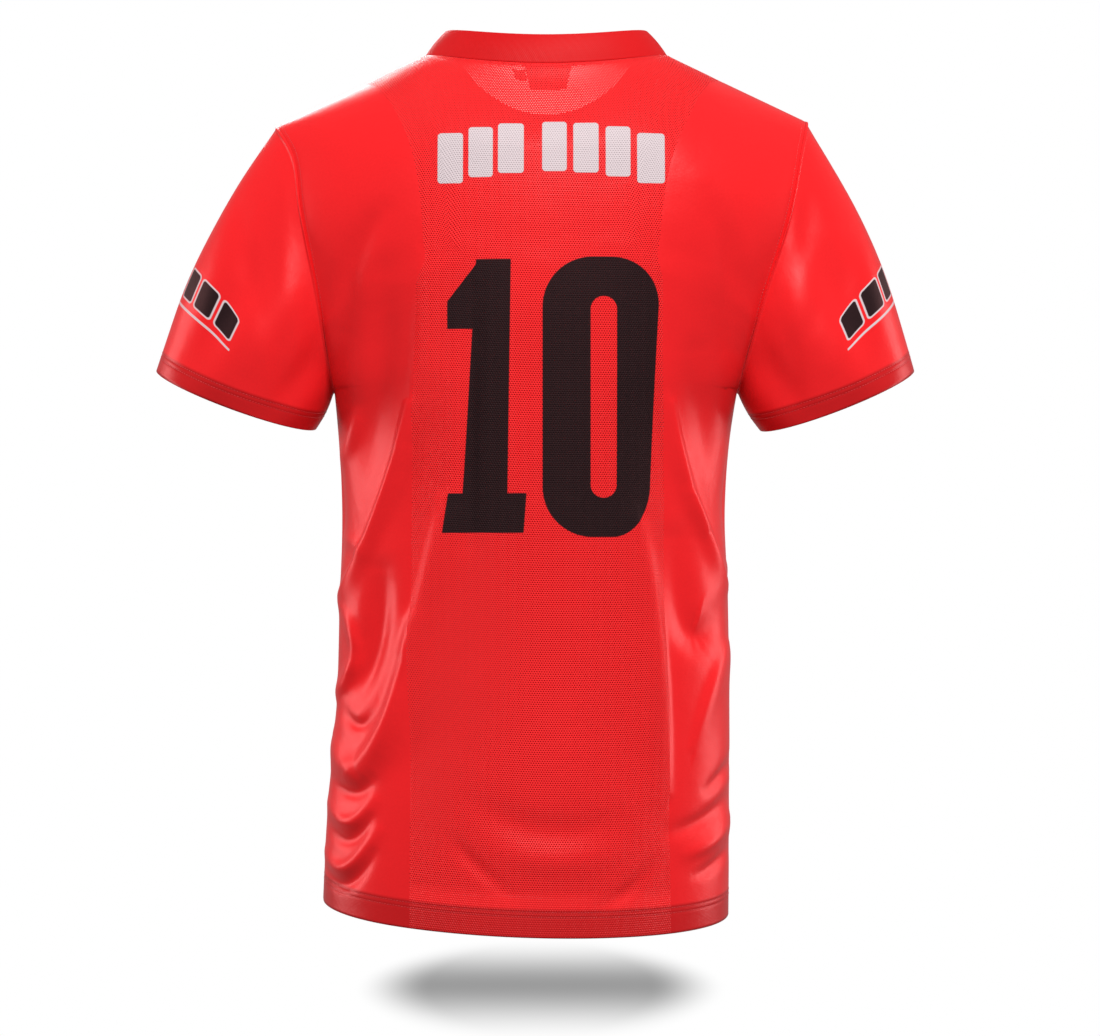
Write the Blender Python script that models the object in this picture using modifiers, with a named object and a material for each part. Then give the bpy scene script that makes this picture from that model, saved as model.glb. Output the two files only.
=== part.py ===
"""A football jersey, filled out as if someone wears it.

Metres, +Z up. The origin is the middle of the shoulder line, level with the points where the collar
meets the shoulder seams. -Y is the back, +Y the front, and -X the wearer's left.

Every panel is a grid of cloth. Its rows run from side to side and its columns from the hem up. A row of
the torso is an arc: the turn of a point is its angle round that arc, 0 in the middle of the back or the
front. Below the underarm a row ends at the side seams, a quarter turn away, and above it at the armholes.
"""

import math
from collections import namedtuple

import bmesh
import bpy
import numpy as np

# ---------------------------------------------------------------- driving dimensions

WALL = 0.0012            # thickness of the knit
COLLAR_WALL = 0.0020     # the collar band is doubled
FLAT_TRIM = 0.00030      # each side of a seam, which leaves about 0.3 mm between the inner faces
ANGLED_TRIM = 0.00060    # each side of a seam where the walls meet at an angle

ROWS_BELOW = 14          # from the hem to the underarm
ROWS_ABOVE = 15          # from the underarm to the shoulder
NECK_COLUMNS = 14        # across the neckline
SHOULDER_COLUMNS = 6     # from the neck to the armhole, on the front
INNER_COLUMNS = 2        # from the neck to the seam of the mesh panel, on the back
SIDE_COLUMNS = 5         # across a side panel of the back
SLEEVE_ROWS = 7          # from the armhole to the cuff
COLLAR_ROWS = 2

UNDERARM = -0.274        # bottom of the armholes
SHOULDER_TIP = -0.054    # top of the armholes
TIP_HALF_WIDTH = 0.2205
ARMHOLE_DEPTH = {"back": 0.062, "front": 0.058}  # how far it stands behind and before its top
ARMHOLE_TURN = 0.95      # radians: where a row's arc ends at the armholes
ARMHOLE_REACH = 0.040    # the armhole's own round shape dies out this far into a panel
TURN_BLEND = 0.090       # height over which that grows to a quarter turn at the underarm
FULLNESS = 0.88          # below 1 the back and the front are flatter in the middle

HEM_SIDE = -0.700        # height of the hem at the side seams
HEM_TILT = 0.006         # it hangs this much higher on the left, and lower on the right
HEM_DROP = {"back": 0.012, "front": 0.008}

NECK_TOP = 0.002         # height of the points where the collar meets the shoulder seams
NECK_MIDDLE = 0.007      # the neck stands this far to the right
NECK_HALF_WIDTH = 0.101
NECK_DEPTH = {"back": 0.072, "front": 0.076}
NECK_DROP = {"back": 0.0145, "front": 0.062}
NECK_DIP = {"back": 2.0, "front": 1.5}           # power of the neckline's dip
ROUND_NECK = 0.075       # height over which the cloth turns over the shoulder beside the neck
ROUND_TIP = 0.110        # and at the armhole
SHOULDER_POWER = 2.0     # 2 turns it over as a quarter of an ellipse
NAPE_POWER = 1.3         # straighter at the middle of the neckline
EASE_START = 0.030       # the rows are smoothed in full from this far below the top edge
EASE_END = 0.170         # and down to here
EASE_ROUNDS = 8

COLLAR_HEIGHT = {"back": 0.0245, "side": 0.0200, "front": 0.0230}
COLLAR_LEAN = {"back": 0.0065, "side": 0.0175, "front": 0.0130}

SLEEVE_BULGE = 0.045     # how far a sleeve stands out between its ends, as a share of its length there
CUFF_DEPTH = 0.058       # half the cuff, from back to front
CUFF_TILT = 0.17         # the back of the cuff hangs lower

LABEL_MIDDLE = 0.0085
LABEL_WIDTH = 0.038
LABEL_HEIGHT = 0.024
TAB_WIDTH = 0.0105
TAB_HEIGHT = 0.0100
LABEL_DOWN = 0.0010      # from the neckline to the label's top edge
LABEL_COLUMNS = 4
LABEL_ROWS = 4
TAB_DOWN = 0.0065        # from the label's top edge to the tab's
TAB_GAP = 0.0006         # between the label and the tab
LABEL_WALL = 0.0010
LABEL_GAP = 0.0004       # between the label and the wall that it hangs behind

# Half widths on the left and the right, and depths of the back and the front.
Section = namedtuple("Section", "height left right back front")
SECTIONS = (
    Section(height=-0.712, left=0.1790, right=0.1577, back=0.124, front=0.118),
    Section(height=-0.620, left=0.1745, right=0.1585, back=0.117, front=0.112),
    Section(height=-0.530, left=0.1665, right=0.1585, back=0.109, front=0.108),
    Section(height=-0.450, left=0.1643, right=0.1577, back=0.105, front=0.109),
    Section(height=-0.370, left=0.1627, right=0.1552, back=0.107, front=0.113),
    Section(height=-0.274, left=0.1690, right=0.1650, back=0.113, front=0.117),
    Section(height=-0.200, left=0.1790, right=0.1840, back=0.117, front=0.113),
    Section(height=-0.130, left=0.1920, right=0.2050, back=0.115, front=0.101),
    Section(height=-0.080, left=0.2010, right=0.2150, back=0.108, front=0.088),
    Section(height=-0.050, left=0.2180, right=0.2215, back=0.102, front=0.081),
    Section(height=0.010, left=0.2190, right=0.2220, back=0.098, front=0.078),
)

# Where the seams of the mesh panel run, as half widths of that panel.
MeshSeam = namedtuple("MeshSeam", "height left right")
MESH_SEAMS = (
    MeshSeam(height=-0.712, left=0.1020, right=0.1070),
    MeshSeam(height=-0.320, left=0.1000, right=0.1010),
    MeshSeam(height=-0.200, left=0.0970, right=0.1000),
    MeshSeam(height=-0.130, left=0.0970, right=0.1010),
    MeshSeam(height=-0.090, left=0.1050, right=0.1100),
    MeshSeam(height=-0.055, left=0.1220, right=0.1280),
    MeshSeam(height=-0.015, left=0.1500, right=0.1540),
)

# The outer and the inner end of each cuff.
Cuff = namedtuple("Cuff", "outer_x outer_z inner_x inner_z")
CUFFS = {
    "left": Cuff(outer_x=-0.3165, outer_z=-0.257, inner_x=-0.1840, inner_z=-0.306),
    "right": Cuff(outer_x=0.3120, outer_z=-0.257, inner_x=0.1840, inner_z=-0.307),
}

# The largest folds, as ridges (height above 0) and troughs (below 0) along a bowed line on a panel.
Fold = namedtuple("Fold", "panel start_x start_z bow_x bow_z end_x end_z width height")
FOLDS = (
    Fold("back", -0.092, -0.170, -0.090, -0.330, -0.150, -0.420, width=0.020, height=0.0060),
    Fold("back", -0.128, -0.150, -0.150, -0.200, -0.150, -0.300, width=0.022, height=-0.0050),
    Fold("back", -0.055, -0.320, -0.075, -0.480, -0.145, -0.600, width=0.024, height=0.0055),
    Fold("back", -0.135, -0.470, -0.150, -0.520, -0.150, -0.560, width=0.018, height=-0.0050),
    Fold("back", 0.112, -0.310, 0.118, -0.380, 0.145, -0.430, width=0.018, height=0.0045),
    Fold("back", 0.085, -0.390, 0.095, -0.500, 0.100, -0.600, width=0.024, height=0.0050),
    Fold("back", 0.125, -0.450, 0.125, -0.520, 0.110, -0.600, width=0.020, height=-0.0045),
    Fold("back", 0.150, -0.120, 0.160, -0.170, 0.155, -0.240, width=0.020, height=-0.0050),
    Fold("back", -0.060, -0.620, 0.010, -0.660, 0.070, -0.630, width=0.022, height=-0.0040),
    Fold("front", -0.140, -0.230, -0.080, -0.330, -0.070, -0.520, width=0.024, height=0.0055),
    Fold("front", -0.145, -0.330, -0.120, -0.450, -0.135, -0.600, width=0.022, height=-0.0050),
    Fold("front", 0.140, -0.240, 0.090, -0.340, 0.085, -0.560, width=0.024, height=0.0055),
    Fold("front", 0.140, -0.360, 0.125, -0.480, 0.140, -0.620, width=0.022, height=-0.0045),
    Fold("front", -0.020, -0.420, 0.010, -0.560, -0.010, -0.700, width=0.026, height=0.0040),
)
FOLD_STEPS = 12          # straight runs that a fold's line is followed in
FOLD_FADE = 0.018        # folds die out this near a side seam or an armhole

# Folds of a sleeve run from its armhole to its cuff. round is 0 at the underarm, 0.25 at the back,
# 0.5 at the top and 0.75 at the front, and lean is how far round a fold moves on its way.
SleeveFold = namedtuple("SleeveFold", "round lean width height")
SLEEVE_FOLDS = (
    SleeveFold(round=0.13, lean=0.05, width=0.035, height=-0.0045),
    SleeveFold(round=0.22, lean=0.07, width=0.040, height=0.0040),
    SleeveFold(round=0.31, lean=0.04, width=0.040, height=-0.0040),
    SleeveFold(round=0.72, lean=-0.04, width=0.040, height=-0.0040),
    SleeveFold(round=0.86, lean=-0.05, width=0.035, height=-0.0045),
)

# Base colour, roughness.
FINISHES = {
    "satin": ((0.80, 0.018, 0.022), 0.38),
    "mesh": ((0.78, 0.020, 0.024), 0.50),
    "rib": ((0.80, 0.016, 0.020), 0.46),
    "label": ((0.060, 0.006, 0.009), 0.60),
}


# ---------------------------------------------------------------- the form of the torso

def along(table, column, height):
    """A column of a table at any height, on a smooth curve through its rows."""
    heights = np.array([row.height for row in table])
    values = np.array([getattr(row, column) for row in table])
    slopes = np.gradient(values, heights)
    height = np.clip(height, heights[0], heights[-1])
    below = np.clip(np.searchsorted(heights, height, side="right") - 1, 0, len(table) - 2)
    run = heights[below + 1] - heights[below]
    t = (height - heights[below]) / run
    start = (1 + 2 * t) * (1 - t) ** 2 * values[below] + t * (1 - t) ** 2 * run * slopes[below]
    end = t * t * (3 - 2 * t) * values[below + 1] - t * t * (1 - t) * run * slopes[below + 1]
    return start + end


def smooth(x):
    """0 below 0 and 1 above 1, with a soft step between."""
    x = np.clip(x, 0.0, 1.0)
    return x * x * (3 - 2 * x)


def widths(height):
    """The middle and the half width of a row."""
    left = along(SECTIONS, "left", height)
    right = along(SECTIONS, "right", height)
    return (right - left) / 2, (right + left) / 2


def last_turn(height):
    """The turn at which a row ends."""
    above = smooth((height - UNDERARM) / TURN_BLEND)
    return math.pi / 2 + (ARMHOLE_TURN - math.pi / 2) * above


def turn_at(x, height):
    """The turn of the point of a row that stands at x."""
    middle, half = widths(height)
    return np.arcsin(np.clip((x - middle) / half * np.sin(last_turn(height)), -1, 1))


def top_edge(side, x):
    """The depth and the height of the shoulder line and the neckline at x."""
    beside = (np.abs(x - NECK_MIDDLE) - NECK_HALF_WIDTH) / (TIP_HALF_WIDTH - NECK_HALF_WIDTH)
    inside = np.sqrt(np.clip(1 - ((x - NECK_MIDDLE) / NECK_HALF_WIDTH) ** 2, 0, 1))
    depth = NECK_DEPTH[side] * inside
    dip = NECK_DROP[side] * inside ** NECK_DIP[side]
    return depth, NECK_TOP - dip + (SHOULDER_TIP - NECK_TOP) * np.clip(beside, 0, 1.02)


def bowed_line(fold):
    """Points along a fold's line."""
    t = np.linspace(0, 1, FOLD_STEPS + 1)[:, None]
    start = np.array([fold.start_x, fold.start_z])
    bow = np.array([fold.bow_x, fold.bow_z])
    end = np.array([fold.end_x, fold.end_z])
    return (1 - t) ** 2 * start + 2 * t * (1 - t) * bow + t**2 * end


def fold_height(side, x, z):
    """How far the folds raise the cloth at a point."""
    raised = np.zeros_like(x)
    here = np.stack([x, z], axis=-1)
    for fold in FOLDS:
        if fold.panel != side:
            continue
        line = bowed_line(fold)
        nearest = np.full(x.shape, np.inf)
        place = np.zeros_like(x)
        for step, (a, b) in enumerate(zip(line[:-1], line[1:])):
            part = np.clip(((here - a) @ (b - a)) / ((b - a) @ (b - a)), 0, 1)
            away = np.linalg.norm(here - a - part[..., None] * (b - a), axis=-1)
            place = np.where(away < nearest, (step + part) / FOLD_STEPS, place)
            nearest = np.minimum(away, nearest)
        swell = np.sin(math.pi * (0.12 + 0.76 * place))
        raised += fold.height * swell * np.exp(-((nearest / fold.width) ** 2))
    return raised


def surface(side, turn, height, top_depth, top_height, beside):
    """Points of the back or the front, under a point of the top edge that lies beside the neck or not."""
    middle, half = widths(height)
    last = last_turn(height)
    centre = (UNDERARM + SHOULDER_TIP) / 2
    low = np.clip((centre - height) / (centre - UNDERARM), 0, 1)
    edge = ARMHOLE_DEPTH[side] * np.sqrt(1 - low**2)
    inside = ARMHOLE_DEPTH[side] * smooth(0.85 - 0.6 * (centre - height) / (centre - UNDERARM))
    near_edge = np.exp(-(((last - np.abs(turn)) * half / ARMHOLE_REACH) ** 2))
    armhole = inside + (edge - inside) * near_edge
    bulge = np.clip((np.cos(turn) - np.cos(last)) / (1 - np.cos(last)), 0, 1) ** FULLNESS
    full = armhole + (along(SECTIONS, side, height) - armhole) * bulge

    # The cloth turns over the shoulder as it comes up to its top edge.
    reach = ROUND_NECK + (ROUND_TIP - ROUND_NECK) * beside
    power = SHOULDER_POWER + (NAPE_POWER - SHOULDER_POWER) * top_depth / NECK_DEPTH[side]
    down = np.clip((top_height - height) / reach, 0, 1)
    depth = top_depth + (full - top_depth) * (1 - (1 - down) ** power) ** (1 / power)
    x = middle + half * np.sin(turn) / np.sin(last)

    raised = fold_height(side, x, height) * smooth((last - np.abs(turn)) * half / FOLD_FADE)
    raised = raised * smooth(2 * down)
    out_x, out_y = np.sin(turn) * full, np.cos(turn) * half
    length = np.hypot(out_x, out_y)
    x = x + raised * out_x / length
    depth = depth + raised * out_y / length
    return np.stack([x, -depth if side == "back" else depth, height], axis=-1)


def torso_grid(side, left_edge, right_edge, shares):
    """Points of a panel, row by row from the hem up. The edges give a turn for any height."""
    top_height = np.full(len(shares), NECK_TOP)
    for _ in range(4):
        turn = left_edge(top_height) * (1 - shares) + right_edge(top_height) * shares
        middle, half = widths(top_height)
        x = middle + half * np.sin(turn) / np.sin(last_turn(top_height))
        top_depth, top_height = top_edge(side, x)
    beside = (np.abs(x - NECK_MIDDLE) - NECK_HALF_WIDTH) / (TIP_HALF_WIDTH - NECK_HALF_WIDTH)
    turn = left_edge(HEM_SIDE) * (1 - shares) + right_edge(HEM_SIDE) * shares
    hem = HEM_SIDE - HEM_TILT * np.sin(turn) - HEM_DROP[side] * np.cos(turn)

    # Rows lie closer together at the underarm and at the top, where the cloth turns fastest.
    up = np.linspace(0, 1, ROWS_BELOW + 1)[:, None]
    below = hem + (UNDERARM - hem) * up
    up = (1 - np.cos(math.pi * np.linspace(0, 1, ROWS_ABOVE + 1)[1:, None])) / 2
    height = np.vstack([below, UNDERARM + (top_height - UNDERARM) * up])
    turn = left_edge(height) * (1 - shares) + right_edge(height) * shares
    return surface(side, turn, height, top_depth, top_height, np.clip(beside, 0, 1))


def eased(points):
    """The same grid with its rows smoothed below the neckline, where the columns beside it turn sharply."""
    down = points[-1:, 1:-1, 2] - points[:, 1:-1, 2]
    share = smooth(down / EASE_START) * smooth((EASE_END - down) / EASE_START)
    for _ in range(EASE_ROUNDS):
        middle = points[:, 1:-1]
        around = (points[:, 2:] + points[:, :-2]) / 2
        points[:, 1:-1] = middle + (around - middle) * share[..., None]
    return points


def left_end(height):
    return -last_turn(height)


def right_end(height):
    return last_turn(height)


def left_mesh_seam(height):
    return turn_at(-along(MESH_SEAMS, "left", height), height)


def right_mesh_seam(height):
    return turn_at(along(MESH_SEAMS, "right", height), height)


def neck_turns():
    """Even steps round the neckline, from the left shoulder to the right."""
    return np.linspace(-math.pi / 2, math.pi / 2, NECK_COLUMNS + 1)


def shares_across(side, left_edge, right_edge, beside_columns):
    """Where a panel's columns lie between its edges, with the neck's columns at even steps round it."""
    x = NECK_MIDDLE + NECK_HALF_WIDTH * np.sin(neck_turns())
    _, height = top_edge(side, x)
    left, right = left_edge(height), right_edge(height)
    neck = (turn_at(x, height) - left) / (right - left)
    steps = np.arange(1, beside_columns) / beside_columns
    return np.concatenate([[0], neck[0] * steps, neck, neck[-1] + (1 - neck[-1]) * steps, [1]])


# ---------------------------------------------------------------- making the pieces

def trimmed(points, left=0.0, right=0.0, bottom=0.0, top=0.0):
    """A grid with its edges drawn in along the cloth. The sides may take a length for each row."""
    result = points.copy()
    for edge, inner, length in (
        (np.s_[:, 0], np.s_[:, 1], left),
        (np.s_[:, -1], np.s_[:, -2], right),
        (np.s_[0], np.s_[1], bottom),
        (np.s_[-1], np.s_[-2], top),
    ):
        way = points[inner] - points[edge]
        way /= np.linalg.norm(way, axis=-1, keepdims=True)
        result[edge] += way * np.reshape(length, (-1, 1))
    return result


def finish(name):
    """The material of a finish."""
    material = bpy.data.materials.get(name)
    if material is None:
        color, roughness = FINISHES[name]
        material = bpy.data.materials.new(name)
        material.diffuse_color = (*color, 1)
        material.use_nodes = True
        shader = material.node_tree.nodes["Principled BSDF"]
        shader.inputs["Base Color"].default_value = (*color, 1)
        shader.inputs["Roughness"].default_value = roughness
        shader.inputs["Metallic"].default_value = 0.0
    return material


def cloth(name, points, wall, finish_name, reverse=False):
    """A wall of cloth whose outer face is a grid of points. Edges that meet are closed."""
    rows, columns = len(points) - 1, len(points[0]) - 1
    bm = bmesh.new()
    bmesh.ops.create_grid(bm, x_segments=columns, y_segments=rows, size=1)
    for vert in bm.verts:
        column = round((vert.co.x + 1) / 2 * columns)
        row = round((vert.co.y + 1) / 2 * rows)
        vert.co = points[row][column]
    if reverse:
        bmesh.ops.reverse_faces(bm, faces=bm.faces)
    bmesh.ops.remove_doubles(bm, verts=bm.verts, dist=1e-6)
    mesh = bpy.data.meshes.new(name)
    bm.to_mesh(mesh)
    bm.free()
    mesh.materials.append(finish(finish_name))
    mesh.shade_smooth()
    piece = bpy.data.objects.new(name, mesh)
    collection.objects.link(piece)
    solidify = piece.modifiers.new("wall", "SOLIDIFY")
    solidify.thickness = wall
    solidify.offset = -1
    return piece


def make_torso(back, front):
    """The back in three panels and the front in one."""
    above = np.arange(ROWS_BELOW + ROWS_ABOVE + 1) >= ROWS_BELOW
    edge = np.where(above, ANGLED_TRIM, FLAT_TRIM)
    left = trimmed(back[:, : SIDE_COLUMNS + 1], left=edge, right=FLAT_TRIM, top=FLAT_TRIM)
    centre = trimmed(back[:, SIDE_COLUMNS:-SIDE_COLUMNS], FLAT_TRIM, FLAT_TRIM, top=FLAT_TRIM)
    right = trimmed(back[:, -SIDE_COLUMNS - 1 :], left=FLAT_TRIM, right=edge, top=FLAT_TRIM)
    cloth("back_side_left", left, WALL, "satin")
    cloth("back_centre", centre, WALL, "mesh")
    cloth("back_side_right", right, WALL, "satin")
    cloth("front", trimmed(front, edge, edge, top=FLAT_TRIM), WALL, "satin", reverse=True)


def make_sleeve(side, back_edge, front_edge):
    """A tube from the armhole to the cuff, closed by the seam under the arm."""
    armhole = np.vstack([back_edge, front_edge[-2::-1]])
    round_share = np.linspace(0, 1, len(armhole))
    turn = 2 * math.pi * round_share[:, None]
    cuff = CUFFS[side]
    inner = np.array([cuff.inner_x, 0, cuff.inner_z])
    outer = np.array([cuff.outer_x, 0, cuff.outer_z])
    back = np.array([0, -CUFF_DEPTH, -CUFF_DEPTH * CUFF_TILT])
    out = (inner - outer) / 2 * np.cos(turn) + back * np.sin(turn)
    opening = (inner + outer) / 2 + out
    out = out / np.linalg.norm(out, axis=1, keepdims=True)
    length = np.linalg.norm(opening - armhole, axis=1, keepdims=True)

    rows = []
    for share in np.linspace(0, 1, SLEEVE_ROWS + 1):
        raised = SLEEVE_BULGE * length
        for fold in SLEEVE_FOLDS:
            away = round_share[:, None] - fold.round - fold.lean * share
            raised = raised + fold.height * np.exp(-((away / fold.width) ** 2))
        rows.append(armhole + (opening - armhole) * share + out * raised * math.sin(math.pi * share))
    points = trimmed(np.array(rows), bottom=ANGLED_TRIM)
    points[:, -1] = points[:, 0]
    cloth("sleeve_" + side, points, WALL, "satin", reverse=side == "right")


def make_collar():
    """A band that stands on the neckline and leans in."""
    turns = neck_turns()
    x = NECK_MIDDLE + NECK_HALF_WIDTH * np.sin(turns)
    rings = []
    for side, across, way in (("back", np.s_[:], -1), ("front", np.s_[-2::-1], 1)):
        depth, height = top_edge(side, x)
        foot = np.stack([x, way * depth, height], axis=-1)[across]
        facing = np.abs(np.cos(turns))[across, None]
        tall = COLLAR_HEIGHT["side"] + (COLLAR_HEIGHT[side] - COLLAR_HEIGHT["side"]) * facing
        lean = COLLAR_LEAN["side"] + (COLLAR_LEAN[side] - COLLAR_LEAN["side"]) * facing
        inward = np.array([NECK_MIDDLE, 0, 0]) - foot
        inward[:, 2] = 0
        inward /= np.linalg.norm(inward, axis=1, keepdims=True)
        rings.append(np.stack([foot, tall * np.array([0, 0, 1]) + lean * inward], axis=1))
    ring = np.vstack(rings)
    foot, rise = ring[:, 0], ring[:, 1]
    points = np.array([foot + rise * share for share in np.linspace(0, 1, COLLAR_ROWS + 1)])
    points = trimmed(points, bottom=FLAT_TRIM)
    points[:, -1] = points[:, 0]
    cloth("collar", points, COLLAR_WALL, "rib")


def hung_inside(name, back, middle, width, down, height):
    """A small label behind the back, made from the points of the wall that it hangs behind."""
    x = np.linspace(middle - width / 2, middle + width / 2, LABEL_COLUMNS + 1)
    neck = back[:, SIDE_COLUMNS + INNER_COLUMNS : -SIDE_COLUMNS - INNER_COLUMNS]
    columns = np.interp(x, neck[-1, :, 0], np.arange(NECK_COLUMNS + 1))
    points = np.zeros((LABEL_ROWS + 1, LABEL_COLUMNS + 1, 3))
    for number, column in enumerate(columns):
        before = int(column)
        line = neck[::-1, before] + (neck[::-1, before + 1] - neck[::-1, before]) * (column - before)
        runs = np.linalg.norm(np.diff(line, axis=0), axis=1)
        lengths = np.concatenate([[0], np.cumsum(runs)])
        wanted = down + height * np.linspace(1, 0, LABEL_ROWS + 1)
        for axis in range(3):
            points[:, number, axis] = np.interp(wanted, lengths, line[:, axis])
    out = np.cross(np.gradient(points, axis=1), np.gradient(points, axis=0))
    out /= np.linalg.norm(out, axis=-1, keepdims=True)
    cloth(name, points - out * (WALL + LABEL_GAP), LABEL_WALL, "label")


for leftover in list(bpy.data.objects):
    bpy.data.objects.remove(leftover)
collection = bpy.data.collections.new("jersey")
bpy.context.scene.collection.children.link(collection)

side_shares = np.linspace(0, 1, SIDE_COLUMNS + 1)
centre_shares = shares_across("back", left_mesh_seam, right_mesh_seam, INNER_COLUMNS)
front_shares = shares_across("front", left_end, right_end, SHOULDER_COLUMNS)
back_left = torso_grid("back", left_end, left_mesh_seam, side_shares)
back_centre = torso_grid("back", left_mesh_seam, right_mesh_seam, centre_shares)
back_right = torso_grid("back", right_mesh_seam, right_end, side_shares)
back_grid = eased(np.hstack([back_left[:, :-1], back_centre, back_right[:, 1:]]))
front_grid = eased(torso_grid("front", left_end, right_end, front_shares))

make_torso(back_grid, front_grid)
make_sleeve("left", back_grid[ROWS_BELOW:, 0], front_grid[ROWS_BELOW:, 0])
make_sleeve("right", back_grid[ROWS_BELOW:, -1], front_grid[ROWS_BELOW:, -1])
make_collar()
hung_inside("neck_label", back_grid, LABEL_MIDDLE, LABEL_WIDTH, LABEL_DOWN, LABEL_HEIGHT)
tab_middle = LABEL_MIDDLE - (LABEL_WIDTH + TAB_WIDTH) / 2 - TAB_GAP
hung_inside("size_tab", back_grid, tab_middle, TAB_WIDTH, LABEL_DOWN + TAB_DOWN, TAB_HEIGHT)
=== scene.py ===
"""The finish of a football jersey, filled out as if worn: red satin knit with a mesh back, a crew collar,
a plain printed number and bare-tile prints, its hems and its stitching.

Metres, +Z up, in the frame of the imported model: -Y is the back, +Y the front, -X the wearer's left.
"""

import math
from collections import namedtuple

import bmesh
import bpy
import numpy as np
from mathutils import Matrix, Vector


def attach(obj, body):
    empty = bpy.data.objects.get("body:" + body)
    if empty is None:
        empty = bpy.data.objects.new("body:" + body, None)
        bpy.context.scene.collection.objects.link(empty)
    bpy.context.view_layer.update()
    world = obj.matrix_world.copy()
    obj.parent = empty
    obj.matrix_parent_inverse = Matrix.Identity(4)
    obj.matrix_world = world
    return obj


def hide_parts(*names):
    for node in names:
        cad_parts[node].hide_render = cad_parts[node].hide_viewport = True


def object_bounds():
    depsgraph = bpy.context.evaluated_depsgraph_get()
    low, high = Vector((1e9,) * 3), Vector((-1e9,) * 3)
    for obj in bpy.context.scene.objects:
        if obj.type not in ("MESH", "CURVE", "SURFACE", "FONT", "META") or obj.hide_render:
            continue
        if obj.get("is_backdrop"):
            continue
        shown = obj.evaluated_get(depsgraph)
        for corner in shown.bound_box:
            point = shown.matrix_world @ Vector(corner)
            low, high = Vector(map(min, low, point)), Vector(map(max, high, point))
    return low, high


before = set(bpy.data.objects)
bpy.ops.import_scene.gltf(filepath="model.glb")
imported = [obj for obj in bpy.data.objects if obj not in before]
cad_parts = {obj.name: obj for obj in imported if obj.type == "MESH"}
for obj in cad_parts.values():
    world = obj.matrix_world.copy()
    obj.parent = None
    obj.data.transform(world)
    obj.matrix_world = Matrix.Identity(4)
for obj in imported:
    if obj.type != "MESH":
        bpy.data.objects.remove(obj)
cad_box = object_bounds()


# ================================================================ the body of the jersey
# Four panels share one form: a tube of cloth that hangs from the shoulders and turns over them.
# A row of it is an arc, and turn is a point's angle round that arc, 0 in the middle of a side.
# Above the underarms a row ends at the armholes, and below them at the side seams.

Section = namedtuple("Section", "height left right back front")
SECTIONS = (
    Section(height=-0.712, left=0.1790, right=0.1577, back=0.124, front=0.118),
    Section(height=-0.620, left=0.1745, right=0.1585, back=0.117, front=0.112),
    Section(height=-0.530, left=0.1665, right=0.1585, back=0.109, front=0.108),
    Section(height=-0.450, left=0.1643, right=0.1577, back=0.105, front=0.109),
    Section(height=-0.370, left=0.1627, right=0.1552, back=0.107, front=0.113),
    Section(height=-0.274, left=0.1690, right=0.1650, back=0.113, front=0.117),
    Section(height=-0.200, left=0.1790, right=0.1840, back=0.117, front=0.113),
    Section(height=-0.130, left=0.1920, right=0.2050, back=0.115, front=0.101),
    Section(height=-0.080, left=0.2010, right=0.2150, back=0.108, front=0.088),
    Section(height=-0.050, left=0.2180, right=0.2215, back=0.102, front=0.081),
    Section(height=0.010, left=0.2190, right=0.2220, back=0.098, front=0.078),
)

UNDERARM = -0.274        # bottom of the armholes
SHOULDER_TIP = -0.054    # top of the armholes
TIP_HALF_WIDTH = 0.2205
ARMHOLE_DEPTH = {"back": 0.062, "front": 0.058}
ARMHOLE_TURN = 0.95
ARMHOLE_REACH = 0.040    # how far in from an armhole its edge shapes the cloth
BLADE_START = 0.85       # how deep the cloth is inside an armhole, halfway up it
BLADE_FALL = 0.6         # and how much less so at the underarm
TURN_BLEND = 0.090       # height over which the rows draw in above the underarm
FULLNESS = 0.88          # below 1 the back and the front are flatter in the middle
HEM_SIDE = -0.700
HEM_TILT = 0.006
HEM_DROP = {"back": 0.012, "front": 0.008}
NECK_TOP = 0.002
NECK_MIDDLE = 0.007
NECK_HALF_WIDTH = 0.101
NECK_DEPTH = {"back": 0.072, "front": 0.076}
NECK_DROP = {"back": 0.0145, "front": 0.062}
NECK_DIP = {"back": 2.0, "front": 1.5}
ROUND_NECK = 0.075       # height over which the cloth turns over the shoulder, beside the neck
ROUND_TIP = 0.110        # and at the armhole
SHOULDER_POWER = 2.0     # 2 turns over the shoulder in a quarter ellipse
NAPE_POWER = 1.3         # and less is straighter
EASE_START = 0.030       # the rows are smoothed between these distances below the top edge
EASE_END = 0.170

ROWS_BELOW = 212         # rows of cloth from the hem to the underarm
ROWS_ABOVE = 128         # and from there to the shoulder
NECK_COLUMNS = 84
EASE_ROUNDS = 290
TOP_ROUNDS = 4           # rounds of finding each column's top, whose height sets its place across

WALL = 0.0006            # a single layer of knit
HEM_WALL = 0.0013        # two layers, where it is turned up and sewn
HEM_DEPTH = 0.0225


def along(table, column, height):
    """A column of a table at any height, on a smooth curve through its rows."""
    heights = np.array([row.height for row in table])
    values = np.array([getattr(row, column) for row in table])
    slopes = np.gradient(values, heights)
    height = np.clip(height, heights[0], heights[-1])
    below = np.clip(np.searchsorted(heights, height, side="right") - 1, 0, len(table) - 2)
    run = heights[below + 1] - heights[below]
    t = (height - heights[below]) / run
    start = (1 + 2 * t) * (1 - t) ** 2 * values[below] + t * (1 - t) ** 2 * run * slopes[below]
    end = t * t * (3 - 2 * t) * values[below + 1] - t * t * (1 - t) * run * slopes[below + 1]
    return start + end


def smooth(x):
    """0 below 0 and 1 above 1, with a soft step between."""
    x = np.clip(x, 0.0, 1.0)
    return x * x * (3 - 2 * x)


def widths(height):
    """The middle and the half width of a row."""
    left = along(SECTIONS, "left", height)
    right = along(SECTIONS, "right", height)
    return (right - left) / 2, (right + left) / 2


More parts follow.
